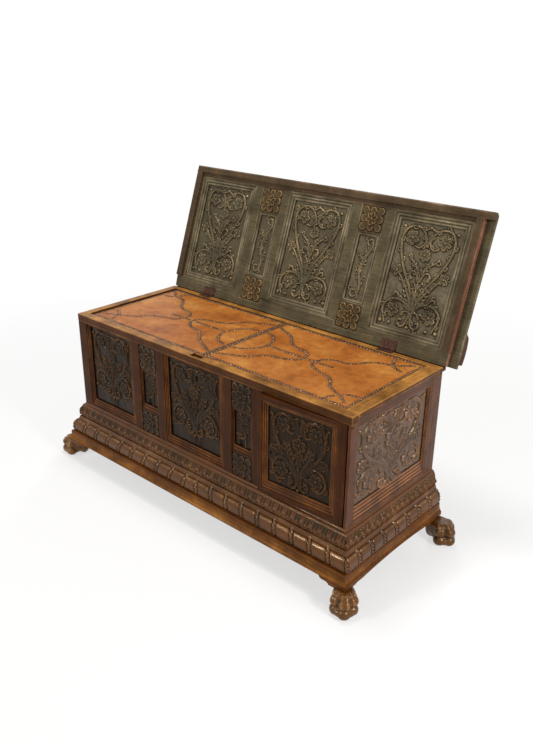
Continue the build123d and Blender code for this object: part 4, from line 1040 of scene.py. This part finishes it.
def cushion_lobes(along, height, run):
    """Rectangular cushions on the torus, parted by twisted bands that lean to the middle."""
    top, bottom = CARCASS_BOTTOM - LOBE_TOP, CARCASS_BOTTOM - LOBE_FOOT
    share = (height - bottom) / (top - bottom)
    if share > 1.02 or share < 0.0:
        return np.zeros_like(along), np.full_like(along, 0.62 if share > 1 else 0.18)
    if run == "front":
        pitch = (CARCASS_WIDTH + 2 * TORUS_REACH) / LOBE_COUNT
        shifted = along + np.sign(along) * 12.0 * max(share, 0.0) ** 1.6 * (np.abs(along) > pitch * 0.3)
        cell = shifted / pitch + 0.5
    else:
        pitch = (CARCASS_DEPTH + TORUS_REACH) / LOBE_COUNT_END
        cell = (along - FRONT_Y + TORUS_REACH) / pitch
    edge = (0.5 - np.abs(cell % 1 - 0.5)) * pitch
    band = 1 - smoothstep(edge, 5.5, 7.0)
    groove = np.exp(-((edge - 7.5) / 1.5) ** 2)
    turn = (cell % 1 - np.round(cell % 1)) * pitch
    twist = 0.5 + 0.5 * np.cos(2 * math.pi * (height - bottom + 0.7 * turn) / TWIST_PITCH)
    ends = min(1.0, 8 * share, 9 * (1.02 - share))
    crown = smoothstep(edge, 7.5, 12.0) * ends
    lift = -3.0 + 3.4 * crown - 1.6 * groove + band * (1.4 + 2.2 * twist)
    # The tone is darker in the grooves and beside the bands and lighter on the bands' twisted crests: painted
    # shade and painted highlight.
    tone = 0.3 + 0.22 * crown - 0.3 * groove + band * (0.65 * twist - 0.12)
    # The upper part of each cushion is lightened: painted highlight from the light above.
    lit_tops = smoothstep(share, 0.66, 0.9) * crown
    return lift, np.clip(tone + 0.22 * lit_tops, 0, 1)


Z = CARCASS_BOTTOM
thumb = [(0.0, Z), *arc((0, Z), (2.5, Z - 6), (8, Z - 8)), (9, Z - 12),
         *arc((9, Z - 12), (18, Z - 28), (21, Z - 47), 18), *arc((21, Z - 47), (19.5, Z - 52), (14, Z - 53), 5),
         (14, Z - 56)]
torus = [(17, Z - 56), (21, Z - 59), (21, Z - 63), (22, Z - 67), (24, Z - 69),
         *arc((24, Z - 69), (38, Z - 83), (TORUS_REACH, Z - 101), 22),
         *arc((TORUS_REACH, Z - 101), (41.5, Z - 112), (38, Z - 118), 8)]
base_moulding("base_thumb_carved", thumb, water_leaves, base_wood, "base_thumb_moulding", 1.8)
base_moulding("base_torus_lobed", torus, cushion_lobes, base_wood, "base_torus_moulding", 2.5)
worn_timber("base_plinth", plinth_wood)

# ---- plain boards, and the ironwork that keeps its CAD shape ----
for node in ("back_board", "bottom_board", "leaf_ledges", "seam_bearer", "base_back_board", "leaf_left_board",
             "leaf_right_board"):
    worn_timber(node, plain_wood, PLAIN_WEAR)
for node in ("door_pivots", "door_lock_case", "lock_bolt", "lid_hinge_lower_halves", "lid_hinge_upper_halves",
             "lid_hinge_pins", "leaf_left_pins", "leaf_right_pins"):
    materials = frame["nodes"][node].data.materials
    materials.clear()
    materials.append(forged_iron)

# ---- leather, and the nails that hold it to the flaps ----
# Lines that the nails follow, in millimetres from above; each flap takes what lies on it.
NAIL_LINES = [
    [(-13, 132.8), (-65, 109.8), (-105, 91.8), (-130, 64.8), (-150, 29.8), (-185, 14.8), (-225, 4.8),
     (-255, -10.2), (-270, -37.2), (-255, -63.2), (-225, -85.2), (-175, -97.2), (-150, -113.2),
     (-125, -140.2), (-95, -163.2), (-50, -185.2), (-14, -205.2)],
    [(14, 130.8), (35, 109.8), (75, 94.8), (115, 66.8), (140, 36.8), (175, 16.8), (220, 6.8), (245, -10.2),
     (255, -40.2), (245, -67.2), (215, -85.2), (165, -100.2), (140, -115.2), (120, -145.2), (90, -167.2),
     (40, -190.2), (14, -206.2)],
    [(-585, 163.8), (-565, 144.8), (-525, 112.8), (-475, 102.8), (-445, 74.8), (-420, 44.8), (-385, 24.8),
     (-340, 14.8), (-317, -5.2), (-312, -35.2), (-325, -63.2), (-355, -80.2), (-405, -95.2), (-430, -115.2),
     (-450, -140.2), (-475, -160.2), (-515, -180.2), (-565, -205.2), (-585, -220.2)],
    [(560, 154.8), (505, 109.8), (475, 99.8), (435, 79.8), (410, 44.8), (385, 19.8), (335, 12.8), (310, -5.2),
     (300, -40.2), (315, -70.2), (355, -90.2), (405, -105.2), (430, -125.2), (450, -155.2), (490, -177.2),
     (505, -183.2), (535, -205.2), (565, -230.2)],
    [(-507, 165.8), (-510, 134.8), (-525, 109.8), (-555, 91.8), (-585, 89.8)],
    [(-585, -140.2), (-555, -148.2), (-520, -175.2), (-505, -205.2), (-500, -230.2)],
    [(470, 164.8), (485, 129.8), (505, 99.8), (535, 82.8), (568, 74.8)],
    [(565, -153.2), (525, -167.2), (505, -183.2), (490, -215.2), (485, -238.2)],
    [(-375, -37.2), (-200, -37.2), (-109, -37.2)],
    [(104, -37.2), (200, -37.2), (365, -37.2)],
    [(-14.0, 54.9), (-60, 37.9), (-90, 4.8), (-101, -37.2), (-90, -79.2), (-60, -112.3), (-14, -129.3)],
    [(14, 54.2), (54, 37.9), (84, 4.8), (95, -37.2), (84, -79.2), (54, -112.3), (14, -128.6)],
    [(555, -224), (555, 154)],
]


def nail_places(low, high, hinge):
    """Where nails sit on a flap of leather from low to high, in millimetres: its edges first, then the pattern.

    The pattern keeps off the strip beside the hinged edge, because there the flap turns against the end rail.
    """
    inset = NAIL_RADIUS + 1.0
    x0, x1, y0, y1 = low[0] + inset, high[0] - inset, low[1] + inset + 6.0, high[1] - inset
    across, along = max(2, round((x1 - x0) / NAIL_PITCH)), max(2, round((y1 - y0) / NAIL_PITCH))
    places = [(x, y) for x in np.linspace(x0, x1, across + 1) for y in (y0, y1)]
    places += [(x, y) for x in (x0, x1) for y in np.linspace(y0, y1, along + 1)[1:-1]]
    for line in NAIL_LINES:
        for x, y in smooth_path(line, NAIL_PITCH)[0]:
            if x0 < x < x1 and y0 < y < y1 and abs(x - hinge) > HINGE_STRIP:
                if min(math.hypot(x - u, y - v) for u, v in places) > NAIL_PITCH * 0.8:
                    places.append((x, y))
    return np.array(places)


def dome_tree(metal):
    """Geometry Nodes: a low dome on each point of a mesh, no two quite alike."""
    tree = bpy.data.node_groups.new("nail_heads", "GeometryNodeTree")
    tree.interface.new_socket("Points", in_out="INPUT", socket_type="NodeSocketGeometry")
    keys = {}
    for name, kind in (("Radius", "NodeSocketFloat"), ("Rise", "NodeSocketFloat"), ("Seed", "NodeSocketInt")):
        keys[name] = tree.interface.new_socket(name, in_out="INPUT", socket_type=kind).identifier
    tree.interface.new_socket("Heads", in_out="OUTPUT", socket_type="NodeSocketGeometry")
    given = add(tree, "NodeGroupInput").outputs
    size = add(tree, "ShaderNodeCombineXYZ", {0: given["Radius"], 1: given["Radius"], 2: given["Rise"]}).outputs[0]
    head = add(tree, "GeometryNodeMeshUVSphere", {"Segments": 10, "Rings": 6, "Radius": 1.0}).outputs["Mesh"]
    head = add(tree, "GeometryNodeTransform", {"Geometry": head, "Scale": size}).outputs[0]
    seed = given["Seed"]
    spread = add(tree, "FunctionNodeRandomValue", {2: 0.9, 3: 1.07, "Seed": seed}, data_type="FLOAT").outputs[1]
    tilt = add(tree, "FunctionNodeRandomValue", {0: (-0.14, -0.14, 0.0), 1: (0.14, 0.14, 6.28), "Seed": seed},
               data_type="FLOAT_VECTOR").outputs[0]
    heads = add(tree, "GeometryNodeInstanceOnPoints", {
        "Points": given["Points"], "Instance": head, "Rotation": tilt, "Scale": spread,
    }).outputs[0]
    heads = add(tree, "GeometryNodeRealizeInstances", {"Geometry": heads}).outputs[0]
    heads = add(tree, "GeometryNodeSetShadeSmooth", {0: heads}).outputs[0]
    heads = add(tree, "GeometryNodeSetMaterial", {"Geometry": heads, "Material": metal}).outputs[0]
    add(tree, "NodeGroupOutput", {"Heads": heads})
    return tree, keys


def nail_heads(name, places, heights, body, seed):
    """Nails at the given places and heights, half sunk in the leather, as one plain mesh."""
    points = bpy.data.meshes.new(f"{name}_places")
    points.from_pydata([(x / 1000, y / 1000, z / 1000) for (x, y), z in zip(places, heights)], [], [])
    holder = placed(f"{name}_places", points)
    modifier = holder.modifiers.new("nails", "NODES")
    modifier.node_group = domes
    for key, value in (("Radius", NAIL_RADIUS / 1000), ("Rise", NAIL_RISE / 1000), ("Seed", seed)):
        modifier[dome_keys[key]] = value
    obj = placed(name, made_plain(holder))
    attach(obj, body)
    return obj


def leather_cover(name, node, body, seed):
    """Leather stretched over a flap: dips at every nail, dark along its edges, dirt beside the nails.

    Beside the hinged edge it is nailed down lower, so that the nails clear the end rail when the flap turns up.
    """
    low, high = (np.array(corner) * 1000 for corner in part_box(node))
    hinge = low[0] if body == "leaf_left" else high[0]
    places = nail_places(low, high, hinge)
    sink = np.interp(np.abs(places[:, 0] - hinge), (HINGE_STRIP / 2, HINGE_STRIP + 4.0),
                     (HINGE_NAIL_SINK, NAIL_SINK))
    columns, rows = (int((high[axis] - low[axis]) / LEATHER_STEP) + 1 for axis in (0, 1))
    x, y = np.linspace(low[0], high[0], columns), np.linspace(low[1], high[1], rows)
    grid_x, grid_y = np.meshgrid(x, y)
    chance = np.random.default_rng(seed)
    wave = blurred(chance.standard_normal(grid_x.shape), 7.0) * 2.5
    nearest = np.full(grid_x.shape, 1e9)
    for u, v in places:
        nearest = np.minimum(nearest, np.hypot(grid_x - u, grid_y - v))
    dip = np.exp(-(nearest / 8.5) ** 2)
    lowered = HINGE_DIP * (1 - smoothstep(np.abs(grid_x - hinge), 13.0, 19.0))
    top = np.maximum(high[2] + np.clip(wave, -0.4, 0.4) * (lowered == 0) - 0.5 * dip - lowered, low[2] + 0.15)
    border = np.minimum.reduce([grid_x - low[0], high[0] - grid_x, grid_y - low[1], high[1] - grid_y])
    tone = 1 - 0.8 * dip - 0.4 * np.exp(-(border / 9.0) ** 2)
    tone = tone + blurred(chance.standard_normal(grid_x.shape), 3.0) * 0.5
    points, faces, relief = closed_slab(x, y, top, low[2], np.clip(tone, 0, 1), 0.1)
    cover = piece(name, points, faces, body, leather, relief, 0, 50)
    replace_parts(cover, node)
    heads = nail_heads(f"{name}_nails", places, high[2] - sink, body, seed)


domes, dome_keys = dome_tree(nail_brass)
leather_cover("leaf_left_cover", "leaf_left_leather", "leaf_left", 3)
leather_cover("leaf_right_cover", "leaf_right_leather", "leaf_right", 4)


# ---- feet: lion's paws under stepped square collars ----
# Where each foot stands, its yaw, and on which side of the chest it is, across and back.
FEET = {
    "foot_front_left": (-684.0, -287.69, 220, -1, -1),
    "foot_front_right": (656.0, -317.69, 308, 1, -1),
    "foot_back_left": (-680.0, 172.31, 190, -1, 1),
    "foot_back_right": (680.0, 172.31, 350, 1, 1),
}


def paw_shape():
    """One paw, toes along +X, as (vertices in millimetres, faces, relief)."""
    lumps = bmesh.new()

    def lump(place, radii, turn=0.0):
        shape = Matrix.Translation(place) @ Matrix.Rotation(turn, 4, "Z") @ Matrix.Diagonal((*radii, 1.0))
        bmesh.ops.create_icosphere(lumps, subdivisions=3, radius=1.0, matrix=shape)

    lump((4, 0, 44), (40, 36, 40))
    lump((-16, 0, 38), (22, 34, 38))
    lump((16, 0, 62), (34, 35, 18))
    lump((22, 0, 28), (32, 34, 26))
    lump((30, 0, 18.2), (36, 38, 19))
    for angle in (-57, 0, 57):
        turn = math.radians(angle)
        out, side = math.cos(turn), math.sin(turn) * 0.58
        # A toe is a root, a knuckle and a pad.
        for reach, z, radii in ((30, 61, (24, 18, 17)), (43, 49, (22, 20, 19)), (47, 18.2, (20.5, 21, 19))):
            lump((reach * out + 4, reach * side, z), radii, turn)
    mesh = bpy.data.meshes.new("paw_lumps")
    lumps.to_mesh(mesh)
    lumps.free()
    holder = placed("paw_lumps", mesh)
    remesh = holder.modifiers.new("skin", "REMESH")
    remesh.mode = "VOXEL"
    remesh.voxel_size = 1.9
    rounding = holder.modifiers.new("rounding", "SMOOTH")
    rounding.factor, rounding.iterations = 0.5, 2
    skin = made_plain(holder)
    skin.vertices.foreach_get("co", spots := np.empty(len(skin.vertices) * 3))
    skin.vertices.foreach_get("normal", outward := np.empty(len(skin.vertices) * 3))
    skin.edges.foreach_get("vertices", links := np.empty(len(skin.edges) * 2, np.int32))
    spots, outward, links = spots.reshape(-1, 3), outward.reshape(-1, 3), links.reshape(-1, 2)
    degree = np.bincount(links.reshape(-1), minlength=len(spots))[:, None]
    # Tufts of fur on the roots of the toes.
    around = np.arctan2(spots[:, 1] / 0.86, spots[:, 0])
    ripple = -np.cos(around * 16.4) * smoothstep(spots[:, 2], 34, 44) * smoothstep(-np.abs(around), -1.25, -0.9)
    ripple *= smoothstep(spots[:, 0], 14, 24)
    spots += outward * (ripple * 0.9)[:, None]
    # Where the skin stands proud of its own average it is lighter, partly from rubbing and partly as painted
    # highlight, and where it lies back it is dark, as painted shade.
    mean = spots.copy()
    for _ in range(24):
        total = np.zeros_like(mean)
        np.add.at(total, links[:, 0], mean[links[:, 1]])
        np.add.at(total, links[:, 1], mean[links[:, 0]])
        mean = 0.3 * mean + 0.7 * total / degree
    relief = np.clip(0.5 + 0.15 * ((spots - mean) * outward).sum(axis=1) + 0.06 * ripple, 0, 1)
    spots[:, 2] = np.clip(spots[:, 2], 0.0, FOOT_HEIGHT - 2 * COLLAR_STEP + 10)
    spots[:, 0] = np.clip(spots[:, 0], *PAW_LENGTH)
    return spots, [tuple(face.vertices) for face in skin.polygons], relief


def square_block(corner, z0, z1, inset):
    """Square block of the collar; corner is its outer corner with its two signs."""
    x, y, across, back = corner
    x0, x1 = sorted((x - across * inset, x - across * (COLLAR - inset)))
    y0, y1 = sorted((y - back * inset, y - back * (COLLAR - inset)))
    mesh = bmesh.new()
    middle = Matrix.Translation(((x0 + x1) / 2, (y0 + y1) / 2, (z0 + z1) / 2))
    bmesh.ops.create_cube(mesh, size=1.0, matrix=middle @ Matrix.Diagonal((x1 - x0, y1 - y0, z1 - z0, 1.0)))
    bmesh.ops.bevel(mesh, geom=mesh.edges[:], offset=COLLAR_WEAR, segments=2, profile=0.5, affect="EDGES")
    mesh.verts.index_update()
    points = [tuple(vert.co) for vert in mesh.verts]
    faces = [tuple(vert.index for vert in face.verts) for face in mesh.faces]
    mesh.free()
    return points, faces


paw_points, paw_faces, paw_relief = paw_shape()
for node, (x, y, yaw, across, back) in FEET.items():
    turn = math.radians(yaw)
    turned = np.array([(math.cos(turn), math.sin(turn), 0), (-math.sin(turn), math.cos(turn), 0), (0, 0, 1)])
    foot = [piece(f"{node}_paw", paw_points @ turned + (x, y, 0), paw_faces, "chest", paw_wood, paw_relief, 2, 60)]
    corner = (across * COLLAR_X, COLLAR_CORNER[back], across, back)
    for step in range(2):
        top = FOOT_HEIGHT - step * COLLAR_STEP
        points, faces = square_block(corner, top - COLLAR_STEP, top, step * COLLAR_INSET)
        relief = np.full(len(points), 0.55)
        foot.append(piece(f"{node}_collar_{step}", points, faces, "chest", plinth_wood, relief, 0, 40))
    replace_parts(join(foot, f"{node}_carved"), node)


# ---- stage, light and camera ----
def white_share(tree):
    """1 for the rays that see plain white: from the camera, and off metal or through glass."""
    rays = add(tree, "ShaderNodeLightPath").outputs
    share = rays["Is Camera Ray"]
    for kind in ("Is Glossy Ray", "Is Transmission Ray"):
        share = add(tree, "ShaderNodeMath", {0: share, 1: rays[kind]}, operation="MAXIMUM").outputs[0]
    return share


# Floor: white studio paper, matt. Near the chest it keeps 40% of its own shade, and so the shadow.
floor_paper = bpy.data.materials.new("paper_white_matt")
tree = new_tree(floor_paper)
paint = add(tree, "ShaderNodeBsdfDiffuse", {"Color": linear("#F2F1EF")})
glow = add(tree, "ShaderNodeEmission", {"Color": (1.0, 1.0, 1.0, 1.0), "Strength": 1.0})
place = add(tree, "ShaderNodeTexCoord").outputs["Object"]
away = add(tree, "ShaderNodeVectorMath", {0: place}, operation="LENGTH").outputs["Value"]
seen = add(tree, "ShaderNodeMapRange", {0: away, 1: 1.0, 2: 2.6, 3: 0.6, 4: 1.0}).outputs[0]
seen = add(tree, "ShaderNodeMath", {0: white_share(tree), 1: seen}, operation="MULTIPLY")
blend = add(tree, "ShaderNodeMixShader", {0: seen.outputs[0], 1: paint.outputs[0], 2: glow.outputs[0]})
add(tree, "ShaderNodeOutputMaterial", {0: blend.outputs[0]})
floor_mesh = bpy.data.meshes.new("floor")
floor_mesh.from_pydata([(-30, -30, 0), (30, -30, 0), (30, 30, 0), (-30, 30, 0)], [], [(0, 1, 2, 3)])
floor_mesh.materials.append(floor_paper)
placed("floor", floor_mesh)

world = bpy.data.worlds.new("studio")
bpy.context.scene.world = world
tree = new_tree(world)
light = add(tree, "ShaderNodeBackground", {"Color": (1.0, 1.0, 1.0, 1.0), "Strength": 0.32})
white = add(tree, "ShaderNodeBackground", {"Color": (1.0, 1.0, 1.0, 1.0), "Strength": 1.0})
blend = add(tree, "ShaderNodeMixShader", {0: white_share(tree), 1: light.outputs[0], 2: white.outputs[0]})
add(tree, "ShaderNodeOutputWorld", {0: blend.outputs[0]})

# Softboxes: where each stands and what it faces, in metres, its size and its power in watts.
for name, stand, target, size, power in (
    ("overhead", (-0.2, 0.1, 3.4), (0.0, 0.0, 0.5), 0.75, 52),
    ("right_side", (3.0, -0.4, 1.9), (0.4, 0.0, 0.4), 0.6, 55),
    ("front_fill", (-1.2, -3.2, 2.2), (0.0, 0.0, 0.4), 0.6, 44),
    ("back_fill", (-1.8, 3.2, 2.0), (0.0, 0.0, 0.5), 0.9, 36),
):
    lamp = bpy.data.lights.new(name, "AREA")
    lamp.shape, lamp.size, lamp.energy = "SQUARE", size, power
    softbox = placed(name, lamp)
    softbox.location = stand
    softbox.rotation_euler = (Vector(target) - Vector(stand)).to_track_quat("-Z", "Y").to_euler()

CAMERA_PLACE = (1.69666, -1.83204, 1.54963)
HEADING, LOOK_DOWN, ROLL = 41.7835, 23.6112, 0.501
camera = bpy.data.cameras.new("camera")
camera.sensor_width = 36.0
camera.lens = 37.354
camera_object = placed("camera", camera)
camera_object.matrix_world = (
    Matrix.Translation(CAMERA_PLACE)
    @ Matrix.Rotation(math.radians(HEADING), 4, "Z")
    @ Matrix.Rotation(math.radians(90 - LOOK_DOWN), 4, "X")
    @ Matrix.Rotation(math.radians(ROLL), 4, "Z")
)
bpy.context.scene.camera = camera_object
bpy.context.scene.view_settings.view_transform = "Standard"
